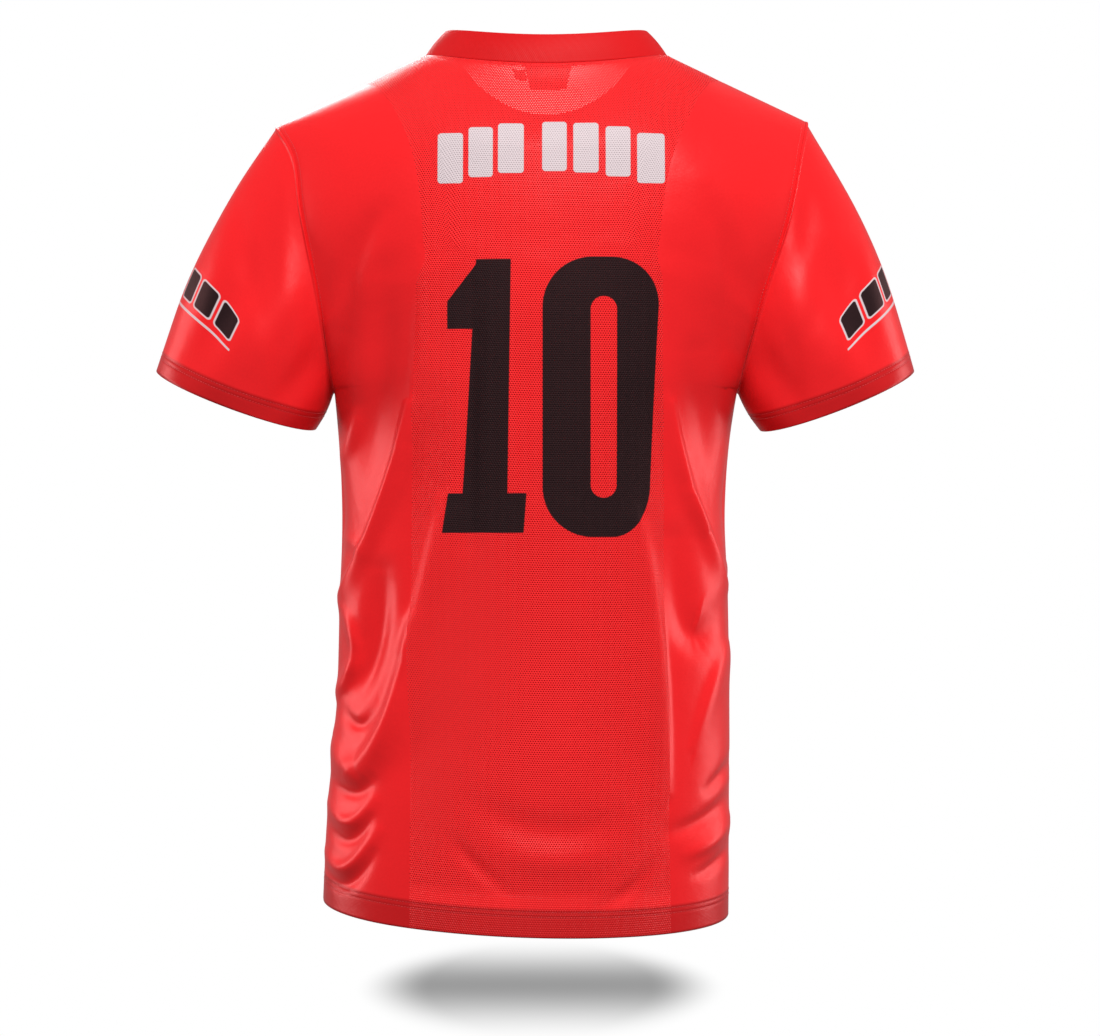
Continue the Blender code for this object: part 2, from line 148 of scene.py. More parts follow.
def last_turn(height):
    """The turn at which a row ends."""
    above = smooth((height - UNDERARM) / TURN_BLEND)
    return math.pi / 2 + (ARMHOLE_TURN - math.pi / 2) * above


def turn_at(x, height):
    """The turn of the point of a row that stands at x."""
    middle, half = widths(height)
    return np.arcsin(np.clip((x - middle) / half * np.sin(last_turn(height)), -1, 1))


def top_edge(side, x):
    """The depth and the height of the shoulder line and the neckline at x."""
    beside = (np.abs(x - NECK_MIDDLE) - NECK_HALF_WIDTH) / (TIP_HALF_WIDTH - NECK_HALF_WIDTH)
    inside = np.sqrt(np.clip(1 - ((x - NECK_MIDDLE) / NECK_HALF_WIDTH) ** 2, 0, 1))
    dip = NECK_DROP[side] * inside ** NECK_DIP[side]
    height = NECK_TOP - dip + (SHOULDER_TIP - NECK_TOP) * np.clip(beside, 0, 1.02)
    return NECK_DEPTH[side] * inside, height


def smooth_form(side, turn, height, top_depth, top_height, beside):
    """Points of the back or the front with no folds."""
    middle, half = widths(height)
    last = last_turn(height)
    centre = (UNDERARM + SHOULDER_TIP) / 2
    low = (centre - height) / (centre - UNDERARM)
    edge = ARMHOLE_DEPTH[side] * np.sqrt(1 - np.clip(low, 0, 1) ** 2)
    inside = ARMHOLE_DEPTH[side] * smooth(BLADE_START - BLADE_FALL * low)
    near_edge = np.exp(-(((last - np.abs(turn)) * half / ARMHOLE_REACH) ** 2))
    armhole = inside + (edge - inside) * near_edge
    bulge = np.clip((np.cos(turn) - np.cos(last)) / (1 - np.cos(last)), 0, 1) ** FULLNESS
    full = armhole + (along(SECTIONS, side, height) - armhole) * bulge
    reach = ROUND_NECK + (ROUND_TIP - ROUND_NECK) * beside
    power = SHOULDER_POWER + (NAPE_POWER - SHOULDER_POWER) * top_depth / NECK_DEPTH[side]
    down = np.clip((top_height - height) / reach, 0, 1)
    depth = top_depth + (full - top_depth) * (1 - (1 - down) ** power) ** (1 / power)
    x = middle + half * np.sin(turn) / np.sin(last)
    return np.stack([x, -depth if side == "back" else depth, height], axis=-1)


def form_grid(side, left_edge, right_edge, shares):
    """The smooth form of a panel, row by row from the hem up. The edges give a turn for any height."""
    top_height = np.full(len(shares), NECK_TOP)
    for _ in range(TOP_ROUNDS):
        turn = left_edge(top_height) * (1 - shares) + right_edge(top_height) * shares
        middle, half = widths(top_height)
        x = middle + half * np.sin(turn) / np.sin(last_turn(top_height))
        top_depth, top_height = top_edge(side, x)
    beside = (np.abs(x - NECK_MIDDLE) - NECK_HALF_WIDTH) / (TIP_HALF_WIDTH - NECK_HALF_WIDTH)
    turn = left_edge(HEM_SIDE) * (1 - shares) + right_edge(HEM_SIDE) * shares
    hem = HEM_SIDE - HEM_TILT * np.sin(turn) - HEM_DROP[side] * np.cos(turn)
    up = np.linspace(0, 1, ROWS_BELOW + 1)[:, None]
    below = hem + (UNDERARM - hem) * up
    up = (1 - np.cos(math.pi * np.linspace(0, 1, ROWS_ABOVE + 1)[1:, None])) / 2
    height = np.vstack([below, UNDERARM + (top_height - UNDERARM) * up])
    turn = left_edge(height) * (1 - shares) + right_edge(height) * shares
    return smooth_form(side, turn, height, top_depth, top_height, np.clip(beside, 0, 1))


def eased(points):
    """The same grid with its rows smoothed below the neckline, where the columns beside it turn sharply."""
    down = points[-1:, 1:-1, 2] - points[:, 1:-1, 2]
    share = (smooth(down / EASE_START) * smooth((EASE_END - down) / EASE_START))[..., None]
    for _ in range(EASE_ROUNDS):
        around = (points[:, 2:] + points[:, :-2]) / 2
        points[:, 1:-1] += (around - points[:, 1:-1]) * share
    return points


def left_end(height):
    return -last_turn(height)


def right_end(height):
    return last_turn(height)


def shares_across(side, left_edge, right_edge, beside_columns):
    """Where a panel's columns lie between its edges, with the neck's columns at even steps round it."""
    x = NECK_MIDDLE + NECK_HALF_WIDTH * np.sin(np.linspace(-math.pi / 2, math.pi / 2, NECK_COLUMNS + 1))
    _, height = top_edge(side, x)
    left = left_edge(height)
    right = right_edge(height)
    neck = (turn_at(x, height) - left) / (right - left)
    steps = np.arange(1, beside_columns) / beside_columns
    return np.concatenate([[0], neck[0] * steps, neck, neck[-1] + (1 - neck[-1]) * steps, [1]])


# A crease is a ridge (height above 0) or a trough (below 0) along a bowed line, in metres across and up.
# lean makes it steeper on its left side (above 0) or on its right (below 0).
Crease = namedtuple("Crease", "start_x start_z bow_x bow_z end_x end_z width height lean")
CREASE_STEPS = 14        # straight runs that its line is followed in
CREASE_FADE = 0.012      # creases die out this near a side seam or an armhole
SHOULDER_FADE = 0.040    # and this near the shoulder line
RIPPLE = 0.0004          # how far the ripple raises the cloth


def crease_field(creases, x, z):
    """How far the creases raise the cloth at each point."""
    raised = np.zeros_like(x)
    here = np.stack([x, z], axis=-1)
    for crease in creases:
        t = np.linspace(0, 1, CREASE_STEPS + 1)[:, None]
        start = np.array([crease.start_x, crease.start_z])
        bow = np.array([crease.bow_x, crease.bow_z])
        end = np.array([crease.end_x, crease.end_z])
        line = (1 - t) ** 2 * start + 2 * t * (1 - t) * bow + t**2 * end
        nearest = np.full(x.shape, np.inf)
        place = np.zeros_like(x)
        across = np.zeros_like(x)
        for step, (a, b) in enumerate(zip(line[:-1], line[1:])):
            way = b - a
            part = np.clip(((here - a) @ way) / (way @ way), 0, 1)
            offset = here - a - part[..., None] * way
            away = np.hypot(offset[..., 0], offset[..., 1])
            closer = away < nearest
            place = np.where(closer, (step + part) / CREASE_STEPS, place)
            across = np.where(closer, offset[..., 0] * way[1] - offset[..., 1] * way[0], across)
            nearest = np.minimum(away, nearest)
        leftward = np.sign(start[1] - end[1] + 1e-9) * np.sign(across)
        width = crease.width * (1 - crease.lean * leftward)
        swell = np.sin(math.pi * (0.08 + 0.84 * place)) ** 0.8
        raised += crease.height * swell * np.exp(-((nearest / width) ** 2))
    return raised


def ripple(x, z, seed, height):
    """Faint unevenness of hanging knit, as a sum of a few long waves."""
    rng = np.random.default_rng(seed)
    total = np.zeros_like(x)
    for _ in range(9):
        across = rng.uniform(30, 85)
        up = rng.uniform(-34, 34)
        total += np.sin(across * x + up * z + rng.uniform(0, 2 * math.pi))
    return height * total / 3


def out_of(points):
    """Unit normals of a grid of points, to the side that its columns and rows turn round."""
    out = np.cross(np.gradient(points, axis=1), np.gradient(points, axis=0))
    return out / np.maximum(np.linalg.norm(out, axis=-1, keepdims=True), 1e-12)


def creased(points, side, creases, seed):
    """The smooth form with its creases, which die out at the seams and at the shoulder line."""
    x, _, z = np.moveaxis(points, -1, 0)
    raised = crease_field(creases, x, z) + ripple(x, z, seed, RIPPLE)
    runs = np.linalg.norm(np.diff(points, axis=1), axis=-1)
    reach = np.concatenate([np.zeros((len(points), 1)), np.cumsum(runs, axis=1)], axis=1)
    from_edge = np.minimum(reach, reach[:, -1:] - reach)
    down = points[-1:, :, 2] - z
    raised *= smooth(from_edge / CREASE_FADE) * smooth(down / SHOULDER_FADE)
    outward = out_of(points) * (1 if side == "back" else -1)
    return points + outward * raised[..., None]


# ---------------------------------------------------------------- the back of the body
# The mesh panel and its two side panels are cut from one form, so their creases run across the seams.
# Deep creases fall from the shoulder blades to the side seams, and small ones stack up at the hips.

SIDE_COLUMNS = 64        # across a side panel of the back
INNER_COLUMNS = 12       # from the neck to the seam of the mesh panel

MeshSeam = namedtuple("MeshSeam", "height left right")
MESH_SEAMS = (
    MeshSeam(height=-0.712, left=0.1020, right=0.1070),
    MeshSeam(height=-0.320, left=0.1000, right=0.1010),
    MeshSeam(height=-0.200, left=0.0970, right=0.1000),
    MeshSeam(height=-0.130, left=0.0970, right=0.1010),
    MeshSeam(height=-0.090, left=0.1050, right=0.1100),
    MeshSeam(height=-0.055, left=0.1220, right=0.1280),
    MeshSeam(height=-0.015, left=0.1500, right=0.1540),
)

BACK_CREASES = (
    # the long sharp fold from the left shoulder blade round to the side seam, and the hollow beside it
    Crease(-0.091, -0.170, -0.090, -0.265, -0.110, -0.318, width=0.012, height=0.0034, lean=0.4),
    Crease(-0.104, -0.290, -0.124, -0.378, -0.164, -0.446, width=0.0058, height=0.0064, lean=0.4),
    Crease(-0.120, -0.190, -0.134, -0.310, -0.156, -0.400, width=0.018, height=-0.0075, lean=0.0),
    Crease(-0.150, -0.296, -0.153, -0.315, -0.163, -0.335, width=0.0050, height=0.0030, lean=0.0),
    Crease(-0.160, -0.396, -0.152, -0.398, -0.142, -0.410, width=0.0060, height=0.0018, lean=0.0),
    # the broad fold under the number, which sweeps down to the left hip
    Crease(-0.074, -0.365, -0.086, -0.425, -0.104, -0.487, width=0.0100, height=0.0069, lean=0.4),
    Crease(-0.100, -0.465, -0.112, -0.560, -0.148, -0.583, width=0.0105, height=0.0097, lean=0.2),
    Crease(-0.144, -0.584, -0.158, -0.588, -0.168, -0.560, width=0.0090, height=0.0041, lean=0.0),
    Crease(-0.126, -0.425, -0.130, -0.490, -0.150, -0.525, width=0.0110, height=-0.0094, lean=0.0),
    # the small curl above the left hip
    Crease(-0.158, -0.455, -0.143, -0.482, -0.152, -0.503, width=0.0045, height=0.0037, lean=-0.2),
    Crease(-0.150, -0.495, -0.152, -0.508, -0.167, -0.528, width=0.0045, height=0.0039, lean=-0.2),
    # the creases stacked at the left hip
    Crease(-0.158, -0.538, -0.148, -0.556, -0.136, -0.541, width=0.0050, height=-0.0039, lean=0.0),
    Crease(-0.134, -0.592, -0.152, -0.612, -0.167, -0.595, width=0.0060, height=-0.0047, lean=0.0),
    Crease(-0.133, -0.608, -0.153, -0.640, -0.169, -0.615, width=0.0055, height=0.0042, lean=0.0),
    Crease(-0.136, -0.622, -0.155, -0.655, -0.171, -0.632, width=0.0050, height=-0.0039, lean=0.0),
    Crease(-0.129, -0.632, -0.157, -0.680, -0.172, -0.655, width=0.0055, height=0.0042, lean=0.0),
    Crease(-0.133, -0.650, -0.156, -0.692, -0.173, -0.670, width=0.0050, height=-0.0034, lean=0.0),
    # the slack above the hem
    Crease(-0.050, -0.606, 0.000, -0.640, 0.062, -0.622, width=0.0120, height=-0.0026, lean=0.0),
    Crease(-0.040, -0.640, 0.010, -0.662, 0.062, -0.646, width=0.0110, height=0.0018, lean=0.0),
    Crease(-0.068, -0.636, -0.052, -0.655, -0.022, -0.678, width=0.0060, height=-0.0020, lean=0.0),
    Crease(0.092, -0.655, 0.080, -0.676, 0.050, -0.690, width=0.0060, height=-0.0020, lean=0.0),
    # the sharp fold from the right shoulder blade to the side seam, and the hollow behind it
    Crease(0.108, -0.288, 0.118, -0.345, 0.134, -0.385, width=0.0056, height=0.0044, lean=-0.4),
    Crease(0.126, -0.362, 0.140, -0.395, 0.156, -0.436, width=0.0050, height=0.0051, lean=-0.4),
    Crease(0.128, -0.250, 0.136, -0.330, 0.152, -0.385, width=0.0140, height=-0.0053, lean=0.0),
    # the fold that hangs from the right of the number
    Crease(0.083, -0.385, 0.101, -0.470, 0.1030, -0.600, width=0.0100, height=0.0060, lean=-0.5),
    Crease(0.110, -0.400, 0.118, -0.510, 0.146, -0.460, width=0.0130, height=-0.0069, lean=0.0),
    Crease(0.157, -0.484, 0.139, -0.515, 0.127, -0.565, width=0.0075, height=0.0037, lean=0.4),
    # the creases at the right hip
    Crease(0.160, -0.578, 0.150, -0.592, 0.138, -0.600, width=0.0050, height=-0.0034, lean=0.0),
    Crease(0.158, -0.606, 0.140, -0.628, 0.108, -0.632, width=0.0070, height=-0.0042, lean=0.0),
    Crease(0.156, -0.628, 0.144, -0.646, 0.120, -0.650, width=0.0060, height=0.0034, lean=0.0),
    Crease(0.158, -0.648, 0.146, -0.664, 0.128, -0.668, width=0.0050, height=-0.0029, lean=0.0),
    # the drag lines from the armholes to the shoulder blades
    Crease(0.122, -0.100, 0.152, -0.125, 0.168, -0.180, width=0.0130, height=0.0011, lean=0.0),
    Crease(0.140, -0.120, 0.158, -0.165, 0.156, -0.240, width=0.0110, height=-0.0032, lean=0.0),
    Crease(-0.126, -0.135, -0.150, -0.160, -0.160, -0.225, width=0.0095, height=-0.0034, lean=0.0),
    Crease(-0.118, -0.150, -0.142, -0.190, -0.150, -0.270, width=0.0110, height=0.0010, lean=0.0),
    Crease(-0.050, -0.200, -0.055, -0.300, -0.056, -0.400, width=0.0085, height=-0.0026, lean=0.0),
)


def left_mesh_seam(height):
    return turn_at(-along(MESH_SEAMS, "left", height), height)


def right_mesh_seam(height):
    return turn_at(along(MESH_SEAMS, "right", height), height)


side_shares = np.linspace(0, 1, SIDE_COLUMNS + 1)
centre_shares = shares_across("back", left_mesh_seam, right_mesh_seam, INNER_COLUMNS)
back_flat = eased(np.hstack([
    form_grid("back", left_end, left_mesh_seam, side_shares)[:, :-1],
    form_grid("back", left_mesh_seam, right_mesh_seam, centre_shares),
    form_grid("back", right_mesh_seam, right_end, side_shares)[:, 1:],
]))
back_grid = creased(back_flat, "back", BACK_CREASES, seed=3)
back_out = out_of(back_grid)


# ---------------------------------------------------------------- how a panel is cut, turned and sewn
# Each panel ends in a lip of seam allowance that turns in behind the seam, so no light shows between
# two panels. Its hem is turned up once, which makes two layers there.

LIP_DEPTH = 0.0028       # how far the seam allowance reaches in
SEAM_SINK = 0.00006      # the stitches pull the cloth in at a seam
SEAM_SINK_REACH = 0.0016
SHARP_EDGE = 0.9         # radians: an edge that turns more than this is a fold, not a curve


def with_lips(points, out, left=True, right=True, top=True):
    """A panel's grid with its edges drawn down into the seams and a lip added behind each."""
    runs = np.linalg.norm(np.diff(points, axis=1), axis=-1)
    from_left = np.concatenate([np.zeros((len(points), 1)), np.cumsum(runs, axis=1)], axis=1)
    from_right = from_left[:, -1:] - from_left
    runs = np.linalg.norm(np.diff(points, axis=0), axis=-1)
    from_foot = np.concatenate([np.zeros((1, len(points[0]))), np.cumsum(runs, axis=0)], axis=0)
    from_top = from_foot[-1:] - from_foot
    sink = np.zeros(points.shape[:2])
    for wanted, away in ((left, from_left), (right, from_right), (top, from_top)):
        if wanted:
            sink = np.maximum(sink, np.exp(-((away / SEAM_SINK_REACH) ** 2)))
    points = points - out * (sink * SEAM_SINK)[..., None]
    if left:
        points = np.hstack([points[:, :1] - out[:, :1] * LIP_DEPTH, points])
    if right:
        points = np.hstack([points, points[:, -1:] - out[:, -1:] * LIP_DEPTH])
    if top:
        top_out = np.hstack([out[-1:, :1]] * left + [out[-1:]] + [out[-1:, -1:]] * right)
        points = np.vstack([points, points[-1:] - top_out * LIP_DEPTH])
    return points


def cloth_piece(name, points, flat, material, reverse=False):
    """A shell of knit from a grid of points, two layers thick along the hem at its foot.

    Its map named cloth holds distances along the cloth in metres, for the knit. The one named print
    holds the two numbers of flat for each point, for what is printed on it.
    """
    rows = len(points) - 1
    columns = len(points[0]) - 1
    if flat.shape[:2] != points.shape[:2]:
        missing = np.array(points.shape[:2]) - flat.shape[:2]
        sides = (missing[1] // 2, missing[1] - missing[1] // 2)
        flat = np.pad(flat, ((0, missing[0]), sides, (0, 0)), mode="edge")
    across = np.cumsum(np.linalg.norm(np.diff(points, axis=1), axis=-1), axis=1)
    across = np.concatenate([np.zeros((rows + 1, 1)), across], axis=1)
    across -= across[:, columns // 2 : columns // 2 + 1]
    up = np.cumsum(np.linalg.norm(np.diff(points, axis=0), axis=-1), axis=0)
    up = np.concatenate([np.zeros((1, columns + 1)), up], axis=0)
    bm = bmesh.new()
    bmesh.ops.create_grid(bm, x_segments=columns, y_segments=rows, size=1)
    bm.verts.index_update()
    cloth_map = bm.loops.layers.uv.new("cloth")
    print_map = bm.loops.layers.uv.new("print")
    layers = bm.verts.layers.deform.verify()
    places = {}
    for vert in bm.verts:
        column = round((vert.co.x + 1) / 2 * columns)
        row = round((vert.co.y + 1) / 2 * rows)
        places[vert.index] = (row, column)
        vert.co = points[row, column]
        vert[layers][0] = 1.0 if up[row, column] < HEM_DEPTH else WALL / HEM_WALL
    bm.normal_update()
    for edge in bm.edges:
        edge.smooth = edge.calc_face_angle(0) < SHARP_EDGE
    for face in bm.faces:
        face.smooth = True
        for loop in face.loops:
            row, column = places[loop.vert.index]
            loop[cloth_map].uv = (across[row, column], up[row, column])
            loop[print_map].uv = flat[row, column]
    if reverse:
        bmesh.ops.reverse_faces(bm, faces=bm.faces)
    bmesh.ops.remove_doubles(bm, verts=bm.verts, dist=1e-6)
    mesh = bpy.data.meshes.new(name)
    bm.to_mesh(mesh)
    bm.free()
    mesh.materials.append(material)
    piece = bpy.data.objects.new(name, mesh)
    bpy.context.scene.collection.objects.link(piece)
    piece.vertex_groups.new(name="layers")
    solidify = piece.modifiers.new("wall", "SOLIDIFY")
    solidify.thickness = HEM_WALL
    solidify.offset = -1
    solidify.vertex_group = "layers"
    return piece


# ---------------------------------------------------------------- how the knit is made and dyed, with painted shade
# A close satin knit with a soft sheen. Its threads are finer than the eye sees from a step away, and
# show as a grain. The hem's two rows of stitches draw the cloth in, and painted shade darkens the
# colour in those grooves and along the doubled hem.


def calc(tree, operation, a, b=0.0, c=0.0):
    """A sum on two or three values, each a number or a node's socket."""
    node = tree.nodes.new("ShaderNodeMath")
    node.operation = operation
    for socket, value in zip(node.inputs, (a, b, c)):
        if isinstance(value, (int, float)):
            socket.default_value = value
        else:
            tree.links.new(value, socket)
    return node.outputs[0]


def step_in(tree, distance, soft):
    """1 where a distance is above 0 and 0 where it is below, over a soft edge."""
    node = tree.nodes.new("ShaderNodeMapRange")
    node.inputs["From Min"].default_value = -soft
    node.inputs["From Max"].default_value = soft
    tree.links.new(distance, node.inputs["Value"])
    return node.outputs["Result"]


def blend(tree, share, a, b):
    """From colour a to colour b, each a tuple or a node's socket."""
    node = tree.nodes.new("ShaderNodeMix")
    node.data_type = "RGBA"
    tree.links.new(share, node.inputs["Factor"])
    for socket, value in ((node.inputs[6], a), (node.inputs[7], b)):
        if isinstance(value, tuple):
            socket.default_value = value
        else:
            tree.links.new(value, socket)
    return node.outputs[2]


def new_group(name, inputs, outputs):
    """An empty node group with these sockets, its sockets' inner ends and its outputs' inner ends."""
    group = bpy.data.node_groups.new(name, "ShaderNodeTree")
    for label, kind in inputs:
        group.interface.new_socket(label, in_out="INPUT", socket_type=kind)
    for label, kind in outputs:
        group.interface.new_socket(label, in_out="OUTPUT", socket_type=kind)
    return group, group.nodes.new("NodeGroupInput").outputs, group.nodes.new("NodeGroupOutput").inputs


def both_of(tree, vector):
    """The first two numbers of a vector."""
    apart = tree.nodes.new("ShaderNodeSeparateXYZ")
    tree.links.new(vector, apart.inputs["Vector"])
    return apart.outputs["X"], apart.outputs["Y"]


def place_on(tree, uv_map):
    """A piece's map, whole and as its two numbers."""
    uv = tree.nodes.new("ShaderNodeUVMap")
    uv.uv_map = uv_map
    first, second = both_of(tree, uv.outputs["UV"])
    return uv.outputs["UV"], first, second


def noise(tree, vector, scale, detail, roughness=0.5):
    """Soft noise between 0 and 1 with this many lumps to the metre."""
    node = tree.nodes.new("ShaderNodeTexNoise")
    node.inputs["Scale"].default_value = scale
    node.inputs["Detail"].default_value = detail
    node.inputs["Roughness"].default_value = roughness
    tree.links.new(vector, node.inputs["Vector"])
    return node.outputs["Fac"]


VALUE = "NodeSocketFloat"
COLOUR = "NodeSocketColor"
VECTOR = "NodeSocketVector"
WALE = 0.0009            # between two columns of the knit
COURSE = WALE * 1.3      # and between two rows
STITCHED_AT = (0.0165, 0.0205)   # the hem's rows of stitches, above its edge
THREAD_HIGH = 0.000012   # how far the threads, their grain and the slack of the knit stand up
GRAIN_HIGH = 0.000035
SLACK_HIGH = 0.0005
DRAWN_IN_WIDE = 0.0011   # how wide a groove a row of stitches pulls in
DRAWN_IN_DEEP = 0.00022
CLOUDY = 0.16            # how uneven the dye looks, from place to place and from thread to thread
GRAINY = 0.10
GROOVE_SHADE = -0.10     # painted shade: how much darker the colour is made in a stitched groove, and where the hem is double, partly for its two denser layers
DOUBLE_SHADE = -0.34
SATIN_ROUGH = 0.28
GRAIN_ROUGH = 0.10
PRINT_HIGH = 0.00006     # a print stands up this far and is rougher than the satin
PRINT_ROUGH = 0.22
PRINT_FILLS = 0.7        # the share of an eyelet that a print closes
DIP_DEEP = 0.00042       # how deep the knit dips at an eyelet
SOFT_HEM = 0.0012        # the hem's upper edge shows over this distance
HOLES_FROM = 0.034       # above the hem, where the turned-up layer ends and its edge is hidden
SOFT_HOLES = 0.0040

knit, knit_in, knit_out = new_group(
    "knit", (("Along", VECTOR), ("Up", VALUE)), (("Height", VALUE), ("Shade", VALUE), ("Rough", VALUE))
)
across, up = both_of(knit, knit_in["Along"])
wales = calc(knit, "SINE", calc(knit, "MULTIPLY", across, 2 * math.pi / WALE))
courses = calc(knit, "SINE", calc(knit, "MULTIPLY", up, 2 * math.pi / COURSE))
threads = calc(knit, "MULTIPLY", calc(knit, "ADD", wales, courses), THREAD_HIGH)
grain = noise(knit, knit_in["Along"], scale=520, detail=2)
slack = noise(knit, knit_in["Along"], scale=46, detail=3, roughness=0.45)
cloud = noise(knit, knit_in["Along"], scale=9, detail=2)
height = calc(knit, "MULTIPLY_ADD", grain, GRAIN_HIGH, threads)
height = calc(knit, "MULTIPLY_ADD", slack, SLACK_HIGH, height)
drawn_in = 0.0
for above in STITCHED_AT:
    away = calc(knit, "DIVIDE", calc(knit, "SUBTRACT", knit_in["Up"], above), DRAWN_IN_WIDE)
    groove = calc(knit, "EXPONENT", calc(knit, "MULTIPLY", calc(knit, "MULTIPLY", away, away), -1.0))
    drawn_in = calc(knit, "ADD", drawn_in, groove)
height = calc(knit, "MULTIPLY_ADD", drawn_in, -DRAWN_IN_DEEP, height)
knit.links.new(height, knit_out["Height"])
# the shade holds the dye's real unevenness, then painted shade in the stitched grooves and along the
# doubled hem
shade = calc(knit, "MULTIPLY_ADD", cloud, CLOUDY, 1 - (CLOUDY + GRAINY) / 2)
shade = calc(knit, "MULTIPLY_ADD", grain, GRAINY, shade)
# painted shade: the stitched grooves are coloured darker, as if in shade
shade = calc(knit, "MULTIPLY_ADD", drawn_in, GROOVE_SHADE, shade)
# the doubled hem is coloured darker: partly its two denser layers, partly painted shade
double = step_in(knit, calc(knit, "SUBTRACT", HEM_DEPTH, knit_in["Up"]), SOFT_HEM)
shade = calc(knit, "MULTIPLY", shade, calc(knit, "MULTIPLY_ADD", double, DOUBLE_SHADE, 1.0))
knit.links.new(shade, knit_out["Shade"])
knit.links.new(calc(knit, "MULTIPLY_ADD", grain, GRAIN_ROUGH, SATIN_ROUGH), knit_out["Rough"])


def cloth_material(name, dye, rough_more=0.0, prints=None, eyelets=None, hem_less=0.0):
    """Knit of one dye. prints gives a mask and a colour for each point, and eyelets the holes of a mesh.

    hem_less is how much narrower than the body's hem this cloth's hem is. At 1 it has none.
    """
    material = bpy.data.materials.new(name)
    material.use_nodes = True
    tree = material.node_tree
    shader = tree.nodes["Principled BSDF"]
    along_cloth, _, up = place_on(tree, "cloth")
    made = tree.nodes.new("ShaderNodeGroup")
    made.node_tree = knit
    tree.links.new(along_cloth, made.inputs["Along"])
    tree.links.new(calc(tree, "ADD", up, hem_less), made.inputs["Up"])
    # the dye times the knit's shade, which holds the dye's real unevenness and painted shade in the hem's
    # grooves and doubled band
    dyed_and_shaded = tree.nodes.new("ShaderNodeMix")
    dyed_and_shaded.data_type = "RGBA"
    dyed_and_shaded.blend_type = "MULTIPLY"
    dyed_and_shaded.inputs["Factor"].default_value = 1
    dyed_and_shaded.inputs[6].default_value = dye
    tree.links.new(made.outputs["Shade"], dyed_and_shaded.inputs[7])
    colour = dyed_and_shaded.outputs[2]
    height = made.outputs["Height"]
    rough = calc(tree, "ADD", made.outputs["Rough"], rough_more)
    ink = 0.0
    if prints:
        inked = tree.nodes.new("ShaderNodeGroup")
        inked.node_tree = prints
        on_print, _, _ = place_on(tree, "print")
        tree.links.new(on_print, inked.inputs["Place"])
        ink = inked.outputs["Ink"]
        colour = blend(tree, ink, colour, inked.outputs["Colour"])
        height = calc(tree, "MULTIPLY_ADD", ink, PRINT_HIGH, height)
        rough = calc(tree, "MULTIPLY_ADD", ink, PRINT_ROUGH, rough)
    if eyelets:
        holes = tree.nodes.new("ShaderNodeGroup")
        holes.node_tree = eyelets
        tree.links.new(along_cloth, holes.inputs["Along"])
        single = step_in(tree, calc(tree, "SUBTRACT", up, HOLES_FROM), SOFT_HOLES)
        gone = calc(tree, "MULTIPLY", holes.outputs["Hole"], single)
        gone = calc(tree, "MULTIPLY", gone, calc(tree, "MULTIPLY_ADD", ink, -PRINT_FILLS, 1.0))
        tree.links.new(calc(tree, "SUBTRACT", 1.0, gone), shader.inputs["Alpha"])
        height = calc(tree, "MULTIPLY_ADD", holes.outputs["Dip"], -DIP_DEEP, height)
    tree.links.new(colour, shader.inputs["Base Color"])
    tree.links.new(rough, shader.inputs["Roughness"])
    bump = tree.nodes.new("ShaderNodeBump")
    bump.inputs["Strength"].default_value = 1
    bump.inputs["Distance"].default_value = 1
    tree.links.new(height, bump.inputs["Height"])
    tree.links.new(bump.outputs["Normal"], shader.inputs["Normal"])
    shader.inputs["Specular IOR Level"].default_value = 0.34
    shader.inputs["Specular Tint"].default_value = (1.0, 0.50, 0.50, 1)
    shader.inputs["Sheen Weight"].default_value = 0.06
    shader.inputs["Sheen Roughness"].default_value = 0.35
    shader.inputs["Sheen Tint"].default_value = (1.0, 0.45, 0.45, 1)
    return material


RED = (0.88, 0.0155, 0.0190, 1)
red_satin = cloth_material("red satin", RED)


# ---------------------------------------------------------------- the side panels of the back
# Two panels of satin from the seams of the mesh round to the side seams and the armholes.

back_left = back_grid[:, : SIDE_COLUMNS + 1]
back_left_out = back_out[:, : SIDE_COLUMNS + 1]
piece = cloth_piece(
    "satin_back_left",
    with_lips(back_left, back_left_out),
    back_flat[:, : SIDE_COLUMNS + 1][..., [0, 2]],
    red_satin,
)
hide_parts("back_side_left")
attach(piece, "root")

back_right = back_grid[:, -SIDE_COLUMNS - 1 :]
back_right_out = back_out[:, -SIDE_COLUMNS - 1 :]
piece = cloth_piece(
    "satin_back_right",
    with_lips(back_right, back_right_out),
    back_flat[:, -SIDE_COLUMNS - 1 :][..., [0, 2]],
    red_satin,
)
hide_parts("back_side_right")
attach(piece, "root")


# ---------------------------------------------------------------- the mesh panel of the back
# One panel of eyelet mesh from the collar to the hem, printed with a plain number in block figures and,
# above it, an arch of bare tiles where a name would stand. Its hem is plain, because two layers close
# the holes.

EYELET_PITCH = 0.0020
EYELET_RADIUS = 0.00043
SOFT_RIM = 0.00006       # how soft the rim of a hole is
SOFT_DIP = 0.00035       # and how wide the knit dips in round it


def vector_calc(tree, operation, vector, by=(0, 0, 0)):
    """A sum on a vector, as the node's outputs."""
    node = tree.nodes.new("ShaderNodeVectorMath")
    node.operation = operation
    node.inputs[1].default_value = by
    tree.links.new(vector, node.inputs[0])
    return node.outputs


